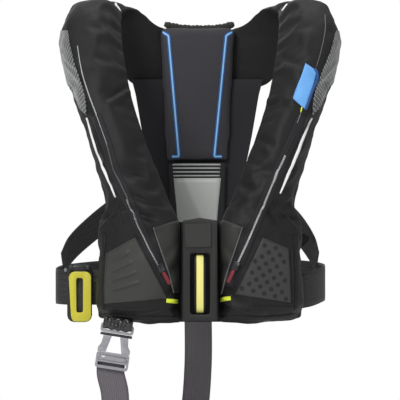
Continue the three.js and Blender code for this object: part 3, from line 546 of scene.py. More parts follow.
def lobeMesh(name, start, end, material):
    length = abs(end - start) * 42.0
    rows = int(length / lobe["rowSpacing"])
    points, uvs = [], []
    ringSize = lobe["frontPoints"] + lobe["backPoints"]
    run = 0.0
    last = None
    for r in range(rows + 1):
        ring = lobeRing(start + (end - start) * r / rows, shrink=1.2)
        centre = np.mean(ring, axis=0)
        run += 0.0 if last is None else float(np.linalg.norm(centre - last))
        last = centre
        around = 0.0
        for k, point in enumerate(ring):
            around += float(np.linalg.norm(point - ring[k - 1])) if k else 0.0
            points.append(point * mm)
            uvs.append((around * mm, run * mm))
    piece = meshObject(name, points, loftFaces(rows + 1, ringSize), material, uvs)
    held = [r * ringSize + k for r in range(rows + 1) for k in range(ringSize)
            if r in (0, rows) or k == 0 or k >= lobe["frontPoints"]]
    return piece, held


def puffUp(piece, held, settings):
    # cloth swells under pressure between its held seams, then no point moves past the limit
    rest = meshPoints(piece)
    group = piece.vertex_groups.new(name="held")
    group.add([int(k) for k in held], 1.0, "REPLACE")
    modifier = piece.modifiers.new("puff", "CLOTH")
    cloth = modifier.settings
    cloth.vertex_group_mass = "held"
    cloth.use_pressure = True
    cloth.uniform_pressure_force = settings["pressure"]
    cloth.shrink_min = settings["slack"]
    cloth.tension_stiffness = cloth.compression_stiffness = settings.get("stiffness", 12.0)
    cloth.bending_stiffness = settings.get("bending", 0.15)
    cloth.effector_weights.gravity = 0.0
    cloth.quality = 5
    modifier.collision_settings.use_self_collision = False
    modifier.point_cache.frame_start, modifier.point_cache.frame_end = 1, 20
    for step in range(1, 21):
        scene.frame_set(step)
    bake(piece)
    moved = meshPoints(piece) - rest
    reach = np.linalg.norm(moved, axis=1)
    limit = settings["moveLimit"] * mm
    moved *= np.minimum(1.0, limit / np.maximum(reach, 1e-9))[:, None]
    setPoints(piece, rest + moved)
    scene.frame_set(1)


def smoothDip(distance, width):
    return np.exp(-((distance / width) ** 2))


crease = {"narrow": 0.8, "groove": 1.5, "ridgeAt": 2.4, "ridgeWidth": 1.7}


def pressCreases(piece, creases):
    # each crease is a groove with a soft ridge below it, seen from the front
    points, normals = meshPoints(piece), meshPoints(piece, "normal")
    for start, end, depth, width in creases:
        a, b = np.array(start, float) * mm, np.array(end, float) * mm
        length = np.linalg.norm(b - a)
        along = (b - a) / length
        flat = points[:, [0, 2]] - a
        run = flat @ along
        side = flat @ np.array([-along[1], along[0]])
        fade = np.clip(np.minimum(run, length - run) / (0.35 * length) + 0.4, 0, 1)
        facing = (points[:, 1] < -0.05) * np.clip(-1.6 * normals[:, 1] - 0.1, 0, 1)
        width *= crease["narrow"] * mm
        groove = smoothDip(side, width) * depth * crease["groove"] * mm
        ridge = smoothDip(side + crease["ridgeAt"] * width, crease["ridgeWidth"] * width) * depth * mm
        points += normals * ((ridge - groove) * fade * facing)[:, None]
    setPoints(piece, points)


def roughen(piece, amount, scale, seed):
    points, normals = meshPoints(piece), meshPoints(piece, "normal")
    shift = Vector((seed * 7.3, seed * 3.1, seed * 5.7))
    lift = np.array([noise.noise(Vector(p) * scale + shift) + 0.5 * noise.noise(Vector(p) * scale * 2.3 + shift)
                     for p in points])
    setPoints(piece, points + normals * (lift * amount * mm)[:, None])


# folds in the cloth: start and end in the front view, depth and width, in millimetres
foldLines = {
    "right": [
        ((-141, -113), (-102, -90), 3.2, 3.5),
        ((-104, -246), (-60, -262), 3.4, 5.0),
        ((-96, -272), (-62, -284), 3.0, 5.0),
        ((-150, -268), (-118, -252), 3.0, 5.0),
        ((-152, -284), (-128, -276), 2.4, 4.0),
        ((-96, -214), (-72, -222), 1.8, 6.0),
        ((-178, -60), (-150, -66), 1.2, 7.0),
        ((-128, 2), (-112, -14), 2.0, 6.0),
    ],
    "left": [
        ((112, -112), (93, -118), 3.0, 3.0),
        ((134, -120), (118, -116), 2.4, 4.0),
        ((82, -164), (108, -176), 3.2, 4.5),
        ((64, -196), (86, -204), 3.0, 4.5),
        ((54, -232), (78, -238), 2.4, 5.0),
        ((113, -46), (150, -62), 1.6, 6.0),
        ((148, -252), (122, -262), 2.8, 5.0),
        ((146, -280), (112, -276), 2.6, 5.0),
        ((96, -262), (112, -290), 2.2, 6.0),
        ((176, -92), (160, -70), 1.2, 6.0),
    ],
}


lobeParts = {
    "right": {"start": lobe["hemStation"], "end": lobe["collarStation"] + 0.06, "seed": 1, "fill": 0.7,
              "parts": ("cover", "liner", "hem")},
    "left": {"start": 2 * middle - lobe["hemStation"], "end": 2 * middle - lobe["collarStation"] - 0.06, "seed": 2,
             "fill": 0.7,
             "parts": ("cover", "liner", "hem")},
    "collar": {"start": lobe["collarStation"] - 0.02, "end": 2 * middle - lobe["collarStation"] + 0.02, "seed": 3,
               "fill": 0.6,
               "parts": ("cover", "liner")},
}


def makeLobes():
    made = {}
    for side, look in lobeParts.items():
        piece, held = lobeMesh(f"lobe_{side}", look["start"], look["end"], "coverCloth")
        puffUp(piece, held, lobe)
        roughen(piece, 0.9, 26.0, look["seed"])
        subdivide(piece)
        if side in foldLines:
            pressCreases(piece, foldLines[side])
            roughen(piece, 0.35, 75.0, look["seed"] + 4)
        settle(piece, "cover_cloth", *[f"{part}_{side}" for part in look["parts"]])
        made[side] = piece
    return made


lobes = makeLobes()


bladder = {"from": 3.6, "rows": 70, "shrink": 13.0, "flatBack": -4.0}


def makeBladder():
    # the folded air chamber lies loose inside the covers
    rows, points, uvs = bladder["rows"], [], []
    ringSize = lobe["frontPoints"] + lobe["backPoints"]
    length = 2 * (middle - bladder["from"])
    for r in range(rows + 1):
        station = bladder["from"] + length * r / rows
        points += [p * mm for p in lobeRing(station, bladder["shrink"], bladder["flatBack"])]
        uvs += [(k / ringSize, r / rows * 30) for k in range(ringSize)]
    piece = meshObject("bladderFolded", points, loftFaces(rows + 1, ringSize), "bladderFilm", uvs)
    roughen(piece, 0.8, 60.0, 9)
    settle(piece, "bladder_film", "bladder")


makeBladder()
print("lobes ready")

# projecting sewn-on pieces onto the finished covers


def clothTree(*pieces):
    points, faces = [], []
    for piece in pieces:
        start = len(points)
        points += [v.co.copy() for v in piece.data.vertices]
        faces += [[start + k for k in face.vertices] for face in piece.data.polygons]
    return BVHTree.FromPolygons(points, faces)


coverTree = clothTree(*lobes.values())


def onCloth(x, z, lift=0.0, tree=None):
    # point of the cloth's front at x and z in millimetres, raised along the surface
    tree = tree or coverTree
    found = tree.ray_cast(Vector((x * mm, -0.6, z * mm)), Vector((0, 1, 0)))
    if found[0] is None or found[0].y > (-0.02 if tree is coverTree else 0.0):
        near = tree.find_nearest(Vector((x * mm, -0.2 if tree is coverTree else -0.02, z * mm)))
        return near[0] + near[1] * lift * mm, near[1]
    return found[0] + found[1] * lift * mm, found[1]


def sewn(name, rows, look, slot, nodes, body="root"):
    # thin shell from rows of (point above, point below, map place)
    points, uvs = [], []
    for top in rows:
        points += [t[0] for t in top] + [t[1] for t in reversed(top)]
        uvs += [t[2] for t in top] + [t[2] for t in reversed(top)]
    made = meshObject(name, points, loftFaces(len(rows), 2 * len(rows[0])), look, uvs)
    return settle(made, slot, *nodes, body=body)


def placesOn(line, spacing, width):
    # even places along a line, the direction at each and the strip's own width there
    places = evenly(line, spacing)
    widths = np.interp(np.linspace(0, 1, len(places)), np.linspace(0, 1, len(width)), width)
    return places, directions(places), widths


def directions(places):
    along = np.gradient(places, axis=0)
    return along / np.linalg.norm(along, axis=1)[:, None]


def stripOn(name, line, width, look, slot, lift=0.6, thick=1.2, spacing=3.0, crown=0.4, body="root", tree=None,
            nodes=()):
    # sewn strip that follows a front-view line
    rows = []
    for row, (place, way, own) in enumerate(zip(*placesOn(line, spacing, [width, width]))):
        top = []
        for share in np.linspace(-1, 1, 5):
            spot = place + np.array([way[1], -way[0]]) * share * own / 2
            surface, normal = onCloth(spot[0], spot[1], tree=tree)
            rise = lift + thick * (1 - crown * share ** 2)
            top.append((surface + normal * rise * mm, surface - normal * 0.8 * mm,
                        (share * own * mm / 2, row * spacing * mm)))
        rows.append(top)
    return sewn(name, rows, look, slot, nodes, body)


def pipeOn(name, line, width, look, slot, lift=0.4, thick=1.6, spacing=3.0, nodes=()):
    # piping of true width along the cloth, however steeply the cloth turns away
    places, _, widths = placesOn(line, spacing, width)
    centres = np.array([onCloth(x, z)[0] for x, z in places])
    relax(centres)
    normals = np.array([coverTree.find_nearest(Vector(centre))[1] for centre in centres])
    relax(normals)
    rows = []
    for row, (centre, way, out, own) in enumerate(zip(centres, directions(centres), normals, widths)):
        side = unit(np.cross(way, out))
        top = []
        for k in range(7):
            share = k / 3 - 1
            surface, normal = coverTree.find_nearest(Vector(centre + side * share * own / 2 * mm))[:2]
            rise = lift + thick * math.sqrt(max(0.0, 1 - share ** 2))
            top.append((surface + Vector(out) * rise * mm, surface - normal * 0.8 * mm,
                        (share * own * mm / 2, row * spacing * mm)))
        rows.append(top)
    return sewn(name, rows, look, slot, nodes)


def gridOn(name, corners, columns, rows, look, height, slot, lift=0.5, body="root", tree=None, nodes=()):
    # sewn patch between two edge lines; height, a number or a function of u and v, raises it in millimetres
    edges = [[centripetal(line, t) for t in np.linspace(0, len(line) - 1, rows + 1)] for line in corners]
    top, uvs, normals = [], [], []
    for a, b in zip(*edges):
        for k in range(columns + 1):
            spot = a + (b - a) * k / columns
            surface, normal = onCloth(spot[0], spot[1], tree=tree)
            top.append(np.array(surface))
            normals.append(np.array(normal))
            uvs.append((spot[0] * mm, spot[1] * mm))
    count, wide = len(top), columns + 1
    soft = np.array(normals).reshape(rows + 1, wide, 3)
    for _ in range(4):
        padded = np.pad(soft, ((1, 1), (1, 1), (0, 0)), "edge")
        soft = (besides(padded) + soft) / 5
    soft = (soft / np.linalg.norm(soft, axis=2)[:, :, None]).reshape(-1, 3)
    points = []
    for k, (surface, normal) in enumerate(zip(top, soft)):
        u, v = (k % wide) / columns, (k // wide) / rows
        edge = min(u * columns, (1 - u) * columns, v * rows, (1 - v) * rows)
        rise = height(u, v) if callable(height) else height
        points.append(surface + normal * (lift + rise * (1 - 0.6 * math.exp(-edge * 1.2))) * mm)
    points += [surface - normal * 0.8 * mm for surface, normal in zip(top, soft)]
    faces = []
    for a in [r * wide + k for r in range(rows) for k in range(columns)]:
        b = a + wide
        faces += [(a, a + 1, b + 1, b), (count + a, count + b, count + b + 1, count + a + 1)]
    border = [*range(wide), *[r * wide + columns for r in range(1, rows + 1)]]
    border += [rows * wide + k for k in range(columns - 1, -1, -1)] + [r * wide for r in range(rows - 1, 0, -1)]
    faces += [(a, count + a, count + b, b) for a, b in zip(border, border[1:] + border[:1])]
    return settle(meshObject(name, points, faces, look, uvs + uvs), slot, *nodes, body=body)


# repeats along a line: one geometry tree that puts a small block at each point


def repeatTree():
    group = bpy.data.node_groups.new("repeatAlong", "GeometryNodeTree")
    kinds = {"Geometry": "Geometry", "Block Size": "Vector", "Round": "Bool", "Material": "Material"}
    sockets = [group.interface.new_socket(label, in_out="INPUT", socket_type=f"NodeSocket{kind}").identifier
               for label, kind in kinds.items()]
    group.interface.new_socket("Geometry", in_out="OUTPUT", socket_type="NodeSocketGeometry")
    tree = Tree(group)
    given = tree.add("NodeGroupInput").outputs
    block = tree.add("GeometryNodeMeshCube", {"Size": given["Block Size"]}).outputs["Mesh"]
    disc = tree.add("GeometryNodeMeshCylinder", {"Vertices": 14, "Radius": 0.5, "Depth": 1.0}).outputs["Mesh"]
    scaled = tree.add("GeometryNodeTransform", {"Geometry": disc, "Scale": given["Block Size"]}).outputs["Geometry"]
    pick = tree.add("GeometryNodeSwitch", {"Switch": given["Round"], "False": block, "True": scaled},
                    input_type="GEOMETRY")
    out, way = [tree.add("GeometryNodeInputNamedAttribute", {"Name": label},
                         data_type="FLOAT_VECTOR").outputs["Attribute"]
                for label in ("out", "way")]
    stand = tree.add("FunctionNodeAlignRotationToVector", {"Vector": out}, axis="Z").outputs["Rotation"]
    turn = tree.add("FunctionNodeAlignRotationToVector", {"Rotation": stand, "Vector": way}, axis="Y", pivot_axis="Z")
    lay = tree.add("GeometryNodeInstanceOnPoints", {
        "Points": given["Geometry"], "Instance": pick.outputs["Output"], "Rotation": turn.outputs["Rotation"]})
    whole = tree.add("GeometryNodeRealizeInstances", {"Geometry": lay.outputs["Instances"]}).outputs["Geometry"]
    finish = tree.add("GeometryNodeSetMaterial", {"Geometry": whole, "Material": given["Material"]})
    tree.add("NodeGroupOutput", {"Geometry": finish.outputs["Geometry"]})
    return group, *sockets[1:]


repeatGroup, sizeId, dotId, materialId = repeatTree()


def repeatAt(name, spots, size, look, slot, dots=False):
    # spots are (point, direction out of the cloth, direction along) in metres
    mesh = bpy.data.meshes.new(name)
    mesh.from_pydata([tuple(spot[0]) for spot in spots], [], [])
    for label, pick in (("out", 1), ("way", 2)):
        layer = mesh.attributes.new(label, "FLOAT_VECTOR", "POINT")
        layer.data.foreach_set("vector", np.array([tuple(spot[pick]) for spot in spots], np.float32).ravel())
    made = shown(name, mesh)
    modifier = made.modifiers.new("repeat", "NODES")
    modifier.node_group = repeatGroup
    modifier[sizeId] = [s * mm for s in size]
    modifier[dotId] = dots
    modifier[materialId] = materials[look]
    bake(made)
    for label in ("out", "way"):
        if label in made.data.attributes:
            made.data.attributes.remove(made.data.attributes[label])
    if not made.data.materials:
        made.data.materials.append(materials[look])
    return settle(made, slot)


def alongCloth(line, spacing, lift, sideways=0.0):
    # even spots along a front-view line, with the cloth's direction at each
    places = evenly(line, spacing)
    spots = []
    for place, way in zip(places, directions(places)):
        place = place + np.array([way[1], -way[0]]) * sideways
        surface, normal = onCloth(place[0], place[1], lift)
        ahead = onCloth(*(place + way * 1.0), lift)[0] - surface
        spots.append((surface, normal, ahead.normalized() if ahead.length > 1e-9 else Vector((0, 0, 1))))
    return spots


print("sewing helpers ready")

# webbing and reflective materials


def webMaterial(name, look):
    material, tree, shader, coords = newMaterial(name, Sheen_Weight=0.05)
    parts = tree.add("ShaderNodeSeparateXYZ", {0: coords["UV"]}).outputs
    tone = tree.use(toneGroup, {"Vector": coords["Object"], "Amount": 0.4, "Broad Scale": 18.0})
    lengthwise = tree.math("SINE", tree.math("MULTIPLY", parts[0], 2 * math.pi / look["rib"]))
    slant = tree.math("ADD", parts[1], tree.math("PINGPONG", parts[0], look["rib"]))
    crosswise = tree.math("SINE", tree.math("MULTIPLY", slant, 2 * math.pi / look["pick"]))
    height = tree.math("ADD", tree.math("MULTIPLY", lengthwise, 0.6), tree.math("MULTIPLY", crosswise, 0.4))
    base = tree.mix(tone["Tone"], look["dark"], look["light"])
    edge = tree.ramp(tree.math("ABSOLUTE", parts[0]), look["half"] - 0.0035, look["half"] - 0.0005)
    lit = tree.mix(tree.math("MULTIPLY", tree.ramp(height, -1.0, 1.0), look.get("ribShade", 0.4)), base,
                   look["accent"])
    paint(tree, shader, tree.mix(tree.math("MULTIPLY", edge, 0.35), lit, look["dark"]), tone, look["rough"])
    emboss(tree, shader, (0.5, 0.0005, height))
    return material


webLooks = {
    "harnessWeb": tones("0e0e10 1c1c1f 343439", 0.55, rib=0.0042, pick=0.0022, half=0.025),
    "sideWeb": tones("0d0d0f 1a1a1d 303034", 0.5, rib=0.0036, pick=0.002, half=0.019),
    "crotchWeb": tones("423e43 5c575d 7e797f", 0.6, rib=0.0031, pick=0.0018, half=0.02, ribShade=0.5),
}
materials.update({name: webMaterial(name, look) for name, look in webLooks.items()})


def reflectorMaterial():
    # silver glass-bead sheet: a slanted fold catches the light on one side
    material, tree, shader, coords = newMaterial("reflectiveCloth", Metallic=0.15)
    place = coords["Object"]
    parts = tree.add("ShaderNodeSeparateXYZ", {0: place}).outputs
    tone = tree.use(toneGroup, {"Vector": place, "Amount": 0.25, "Broad Scale": 22.0, "Fine Scale": 2400.0})
    fold = tree.ramp(tree.math("ADD", parts[0], tree.math("MULTIPLY", parts[2], 0.45)), -0.128, -0.122)
    base = tree.mix(tone["Tone"], srgb("a0a3a0"), srgb("b8bbb8"))
    paint(tree, shader, tree.mix(tree.math("MULTIPLY", fold, 0.55), base, srgb("ced0cd")), tone, 0.43, 0.07)
    emboss(tree, shader, (0.08, 0.0002, tone["Grain"]))
    return material


materials["reflective"] = reflectorMaterial()

# sewn pieces on the covers

# each zip: its line in the front view, and the stretches of it with tape, with teeth and with bright teeth
zips = {
    "right": {"line": [(-177, -32), (-171, -67), (-160, -103), (-149, -132), (-133, -176), (-124, -208), (-103, -254),
                       (-83, -302), (-60, -349), (-47, -372)],
              "lower": 3, "teeth": (4, 9), "bright": (6, 9), "look": "greyThread", "size": (1.2, 1.3, 0.9)},
    "left": {"line": [(164, -84), (156, -110), (148, -134), (138, -158), (122, -192), (102, -237), (79, -291),
                      (56, -345), (41, -378)],
             "lower": 2, "teeth": (4, 8), "bright": (4, 8), "look": "whiteThread", "size": (1.9, 1.5, 1.0)},
}
pipings = {
    "piping_right": {"line": [(-163, -136), (-158, -154), (-148, -186), (-133, -223), (-121, -250)]},
    "piping_left": {"line": [(161, -136), (150, -160), (142, -182), (135, -199), (115, -245)]},
    "shoulderPiping_right": {"line": [(-123, 32), (-119.5, 26), (-116.5, 21)], "thick": 1.2},
    "shoulderPiping_left": {"line": [(127, 30), (123, 25), (119.5, 20.5)], "thick": 1.2},
}
# each wing: its inner edge in the front view, and the stretch of the outer seam that it reaches
wings = {
    "right": {"inner": [(-191, -9), (-187, -32), (-179, -62), (-170, -88), (-164, -112), (-163, -132)],
              "seam": (10.05, 7.75)},
    "left": {"inner": [(196, -9), (189, -36), (179, -62), (170, -84), (163, -108), (161, -132)],
             "seam": (2 * middle - 10.05, 2 * middle - 7.75)},
}
wingNet = {"columns": 18, "rows": 70, "spacing": 4.4, "step": 1.8, "slopes": (1.0, -0.75), "bulge": 9.0,
           "above": 1.1, "below": 0.9, "threadAt": 1.3, "reach": 0.96}


def makeZips():
    for side, look in zips.items():
        lower = look["line"][look["lower"]:]
        slot = {"slot": "zip_tape_cloth"}
        stripOn(f"zipTape_{side}", lower, 15.0, "zipTape", lift=0.2, thick=0.9, crown=0.2,
                nodes=[f"zip_tape_{side}"], **slot)
        stripOn(f"zipChain_{side}", lower[1:], 3.0, "darkThread", lift=0.9, thick=1.1, crown=0.5, **slot)
        if side == "right":
            pipeOn("reflectiveEdge_right", look["line"][:5], [1.2, 1.6, 1.6, 1.2], "silverThread", thick=0.8,
                   slot="white_piping")
        teeth, bright = [look["line"][first:last] for first, last in (look["teeth"], look["bright"])]
        repeatAt(f"zipTeeth_{side}", alongCloth(teeth, 2.6, 2.0), (1.7, 1.5, 0.9), look["look"], **slot)
        repeatAt(f"zipTeethBright_{side}", alongCloth(bright, 2.6, 2.2, 0.9), look["size"], "whiteThread",
                 slot="white_piping")
        for name, offset in (("out", -5.6), ("in", 5.6)):
            repeatAt(f"tapeStitch_{side}_{name}", alongCloth(lower, 3.6, 1.15, offset), (0.45, 2.2, 0.3),
                     "darkThread", **slot)
    stripOn("zipCord_left", [(57, -343), (51, -354), (45, -366)], 1.7, "redCord", lift=1.0, thick=1.0,
            slot="pull_cloth")


def makePiping():
    for name, look in pipings.items():
        widths = [3.0, 4.0, 3.4] if "thick" in look else [3.0, 5.2, 5.6, 4.6, 2.0]
        node = name.replace("shoulderP", "shoulder_p")
        pipeOn(name, look["line"], widths, "whitePiping", thick=look.get("thick", 1.6), slot="white_piping",
               nodes=[node])


def insidePolygon(x, z, ring):
    hit = False
    for (ax, az), (bx, bz) in zip(ring, ring[1:] + ring[:1]):
        if (az > z) != (bz > z) and x < (bx - ax) * (z - az) / (bz - az) + ax:
            hit = not hit
    return hit


def wingSurface(look):
    # grid of cloth points and normals from the inner edge round to the outer seam
    columns, rows = wingNet["columns"], wingNet["rows"]
    points, normals = np.empty((rows + 1, columns + 1, 3)), np.empty((rows + 1, columns + 1, 3))
    for r in range(rows + 1):
        v = r / rows
        x, z = centripetal(look["inner"], v * (len(look["inner"]) - 1))
        start, out = onCloth(x, z)
        end = lineAt(outerLine, look["seam"][0] + (look["seam"][1] - look["seam"][0]) * v) * mm
        away = np.array(out) + np.array([math.copysign(0.8, x), 0, 0])
        for c in range(columns + 1):
            t = c / columns * wingNet["reach"]
            spot = np.array(start) * (1 - t) + end * t + away * wingNet["bulge"] * mm * math.sin(math.pi * t)
            found = coverTree.find_nearest(Vector(spot))
            points[r, c], normals[r, c] = found[0], found[1]
    for _ in range(3):
        normals[1:-1, 1:-1] = besides(normals) / 4
        points[1:-1, 1:-1] = (besides(points) + 2 * points[1:-1, 1:-1]) / 6
    normals /= np.linalg.norm(normals, axis=2)[:, :, None]
    return points, normals


def onGrid(grid, t, v):
    # value of a grid between its corners, with t and v from 0 to 1
    rows, columns = grid.shape[0] - 1, grid.shape[1] - 1
    a, b = min(int(v * rows), rows - 1), min(int(t * columns), columns - 1)
    p, q = v * rows - a, t * columns - b
    near, far = [grid[row, b] * (1 - q) + grid[row, b + 1] * q for row in (a, a + 1)]
    return near * (1 - p) + far * p


def netSpots(points, normals):
    # slanted rows of thread along the wing, laid out flat and then put on its surface
    rows, columns, spacing = wingNet["rows"], wingNet["columns"], wingNet["spacing"]
    widths = np.linalg.norm(np.diff(points, axis=1), axis=2).sum(axis=1) / mm
    length = np.linalg.norm(np.diff(points[:, columns // 2], axis=0), axis=1).sum() / mm
    reach = int(length / spacing)
    spots = []
    for slope in wingNet["slopes"]:
        way = np.array([1.0, slope]) / math.hypot(1.0, slope)
        across = np.array([-way[1], way[0]])
        for row in range(-reach, reach + 1):
            for step in range(-2 * reach, 2 * reach + 1):
                u, run = across * row * spacing + way * step * wingNet["step"] + (0, length / 2)
                v = run / length
                width = widths[int(v * rows)] if 0 <= v <= 1 else 0.0
                if abs(u) > width / 2 or not width:
                    continue
                t = u / width + 0.5
                here, out = onGrid(points, t, v), onGrid(normals, t, v)
                ahead = onGrid(points, min(t + way[0] / width, 1), min(v + way[1] / length, 1)) - here
                if np.linalg.norm(ahead) > 1e-5:
                    spots.append((here + out * wingNet["threadAt"] * mm, out, unit(ahead)))
    return spots


def makeWings():
    for side, look in wings.items():
        points, normals = wingSurface(look)
        rows = []
        for r, (line, outs) in enumerate(zip(points, normals)):
            rows.append([(spot + out * wingNet["above"] * mm, spot - out * wingNet["below"] * mm,
                          (c * 2 * mm, r * 2 * mm))
                         for c, (spot, out) in enumerate(zip(line, outs))])
        sewn(f"meshWing_{side}", rows, "meshBase", "mesh_cloth", [f"mesh_wing_{side}"])
        repeatAt(f"meshThreads_{side}", netSpots(points, normals), (0.55, 1.9, 0.4), "silverThread",
                 slot="mesh_cloth")


makeZips()
makePiping()
makeWings()
print("zips, piping and mesh ready")

# panels and patches on the pods

pocketRidges = {"first": 0.2, "step": 0.17, "count": 4, "slant": -0.13, "width": 0.027, "height": 2.8}
gripDots = {"middle": (100.0, -356.0), "pitch": 16.0, "rowStep": 8.4, "tilt": -14.0, "size": 6.2, "margin": 3.0}
gripEdges = ([(90, -308), (78, -335), (64, -363), (51, -390)], [(126, -324), (128, -350), (129, -376), (130, -402)])
pocketEdges = ([(-134, -331), (-136, -355), (-138, -380), (-138, -404)],
               [(-93, -308), (-78, -337), (-62, -367), (-47, -396)])
gussetEdges = {
    "right": ([(-67, -294), (-57, -325), (-47, -355), (-38, -388)],
              [(-30, -283), (-29, -320), (-29, -350), (-29, -388)]),
    "left": ([(29, -281), (28, -320), (28, -350), (27, -390)], [(61, -293), (52, -322), (41, -355), (31, -390)]),
}
barTacks = {
    "right": [(-48.5, -399.3), (-40, -400), (-33, -400.5)], "left": [(29, -398), (36, -397), (44.5, -395.8)],
}


def ridgeHeight(u, v):
    height = 1.0
    for k in range(pocketRidges["count"]):
        centre = pocketRidges["first"] + k * pocketRidges["step"] + pocketRidges["slant"] * (u - 0.4)
        ends = min(1.0, max(0.0, (u - 0.1) / 0.08)) * min(1.0, max(0.0, (0.72 - u) / 0.1))
        height += pocketRidges["height"] * math.exp(-(((v - centre) / pocketRidges["width"]) ** 2)) * ends
    return height


def stitchOn(name, line, offset=0.0, lift=1.6):
    repeatAt(name, alongCloth(line, 3.4, lift, offset), (0.45, 2.1, 0.35), "darkThread", slot="cover_cloth")


def makePatches():
    for side, edges in gussetEdges.items():
        gridOn(f"gusset_{side}", edges, 16, 30, "panelCloth", 1.1, lift=0.4, slot="panel_cloth",
               nodes=[f"gusset_{side}"])
        # the grey strip along each gusset's outer edge is a painted highlight, where the shiny panel's edge catches
        # the light
        stripOn(f"gussetEdge_{side}", edges[side == "left"], 1.3, "greyThread", lift=0.9, thick=0.9,
                slot="panel_cloth")
    gridOn("pocketPatch", pocketEdges, 46, 64, "pocketCloth", ridgeHeight, lift=0.4, slot="panel_cloth",
           nodes=["pocket_patch"])
    gridOn("gripPatch", gripEdges, 30, 40, "gripCloth", 1.3, lift=0.4, slot="grip_rubber", nodes=["grip_patch"])
    ring = gripEdges[0] + gripEdges[1][::-1]
    tilt, size, margin = math.radians(gripDots["tilt"]), gripDots["size"], gripDots["margin"]
    way = np.array([math.cos(tilt), math.sin(tilt)])
    across = np.array([-way[1], way[0]])
    spots = []
    for row, step in [(row, step) for row in range(-9, 10) for step in range(-8, 9)]:
        run = step + 0.5 * (row % 2)
        x, z = gripDots["middle"] + across * row * gripDots["rowStep"] + way * run * gripDots["pitch"]
        corners = [(x - margin, z), (x + margin, z), (x, z - margin), (x, z + margin)]
        if all(insidePolygon(*corner, ring) for corner in corners):
            spots.append((*onCloth(x, z, 1.8), Vector((0, 0, 1))))
    repeatAt("gripDots", spots, (size, size, 0.9), "gripDots", dots=True, slot="grip_rubber")
    for side, line in barTacks.items():
        stripOn(f"barTack_{side}", line, 6.0, "neonThread", thick=1.8, spacing=1.5, crown=0.6, slot="neon_thread",
                nodes=[f"bar_tack_{side}"])


def makeLabel():
    edges = ([(152, -58), (146, -75), (140, -92), (134, -109)], [(168, -69), (163, -88), (157, -106), (151, -124)])
    tab = {"slot": "label_cloth", "body": "label"}
    gridOn("labelTab", edges, 12, 26, "labelCloth", 0.9, lift=1.6, nodes=["label_tab"], **tab)
    stripOn("labelEdge", [(165, -66), (169, -74), (160, -101), (151, -125)], 3.4, "labelEdge", lift=2.3, thick=1.0,
            **tab)
    stripOn("labelMark", [(146.5, -121), (145, -128)], 1.7, "neonThread", lift=1.0, thick=0.8, spacing=2.0,
            slot="neon_thread")
    repeatAt("labelStitch", alongCloth([(145, -129), (140, -143)], 2.6, 1.0), (0.7, 1.2, 0.4), "whiteThread",
             slot="white_piping")
    line = [(181, 14), (181, -8), (174, -42), (168, -62)]
    stripOn("frontSeam_left", line, 0.9, "greyThread", thick=0.6, slot="cover_cloth")


# seams on the pods: line in the front view and width
podSeams = {
    "bandRight": ([(-139, -421), (-110, -424), (-70, -425), (-30, -425)], 7.0),
    "bandLeft": ([(30, -425), (70, -425), (110, -424), (139, -421)], 7.0),
    "edgeRight": ([(-138.5, -304), (-140, -345), (-140.5, -385), (-140, -412)], 6.0),
    "edgeLeft": ([(138.5, -304), (139.5, -345), (139.5, -385), (139, -412)], 6.0),
    "topRight": ([(-148, -300), (-134, -284), (-117, -270), (-101, -262)], 2.0),
    "topLeft": ([(140, -296), (128, -282), (112, -266), (102, -252)], 2.0),
    "pocketSide": ([(-134.5, -326), (-136.5, -360), (-137.5, -404)], 1.6),
    "pocketLow": ([(-139, -408), (-104, -412), (-70, -410), (-46, -403)], 1.6),
    "gripLow": ([(48, -394), (74, -404), (104, -409), (134, -409)], 1.6),
    "gripSide": ([(131, -326), (133, -360), (134, -404)], 1.6),
    "hemRise": ([(-90, -420), (-62, -414), (-42, -407), (-29, -398)], 1.6),
    "hemRiseLeft": ([(90, -420), (62, -414), (42, -406), (28, -396)], 1.6),
    "chestRight": ([(-118, -262), (-108, -296), (-92, -308)], 1.4),
    "chestLeft": ([(112, -256), (108, -290), (92, -308)], 1.4),
}


def makeSeams():
    for name, (line, width) in podSeams.items():
        wide = width > 3
        stripOn(f"seam_{name}", line, width, "podCloth" if wide else "darkThread",
                lift=0.3, thick=1.1 if wide else 0.7, crown=0.5, slot="cover_cloth")
        if wide:
            stitchOn(f"seamStitch_{name}", line, offset=-width / 2 + 1.4, lift=1.2)
    stitchOn("pocketStitch", [(-132, -333), (-134, -355), (-136, -380), (-136, -401)])
    stitchOn("pocketStitchTop", [(-131, -332), (-112, -321), (-94, -311)])
    stitchOn("gripStitch", [(92, -311), (108, -318), (124, -326)], lift=1.8)
    gridOn("hemTag", ([(72, -407), (72, -419)], [(99, -408), (99, -420)]), 10, 6, "podCloth", 1.0, slot="cover_cloth")


makePatches()
makeLabel()
makeSeams()
print("patches, label and seams ready")

# hard parts: rounded copies of the CAD nodes


def bodyOf(node):
    return frame["nodes"][node].parent.name.split(":", 1)[1]


def bevelled(piece, width, segments=2):
    bevel = piece.modifiers.new("bevel", "BEVEL")
    bevel.width = width * mm
    bevel.segments = segments
    return bevel


def roundedCopy(node, width, look, slot):
    shape = bmesh.new()
    shape.from_mesh(frame["nodes"][node].data)
    bmesh.ops.remove_doubles(shape, verts=shape.verts, dist=2e-5)
    bmesh.ops.dissolve_limit(shape, angle_limit=math.radians(1.0), verts=shape.verts, edges=shape.edges)
    mesh = bpy.data.meshes.new(f"{node}Rounded")
    shape.to_mesh(mesh)
    shape.free()
    mesh.materials.clear()
    mesh.materials.append(materials[look])
    made = shown(f"{node}Rounded", mesh)
    bevel = bevelled(made, width)
    bevel.limit_method = "ANGLE"
    bevel.angle_limit = math.radians(32)
    bevel.harden_normals = True
    made.data.polygons.foreach_set("use_smooth", [True] * len(mesh.polygons))
    bake(made)
    return settle(made, slot, node, body=bodyOf(node))


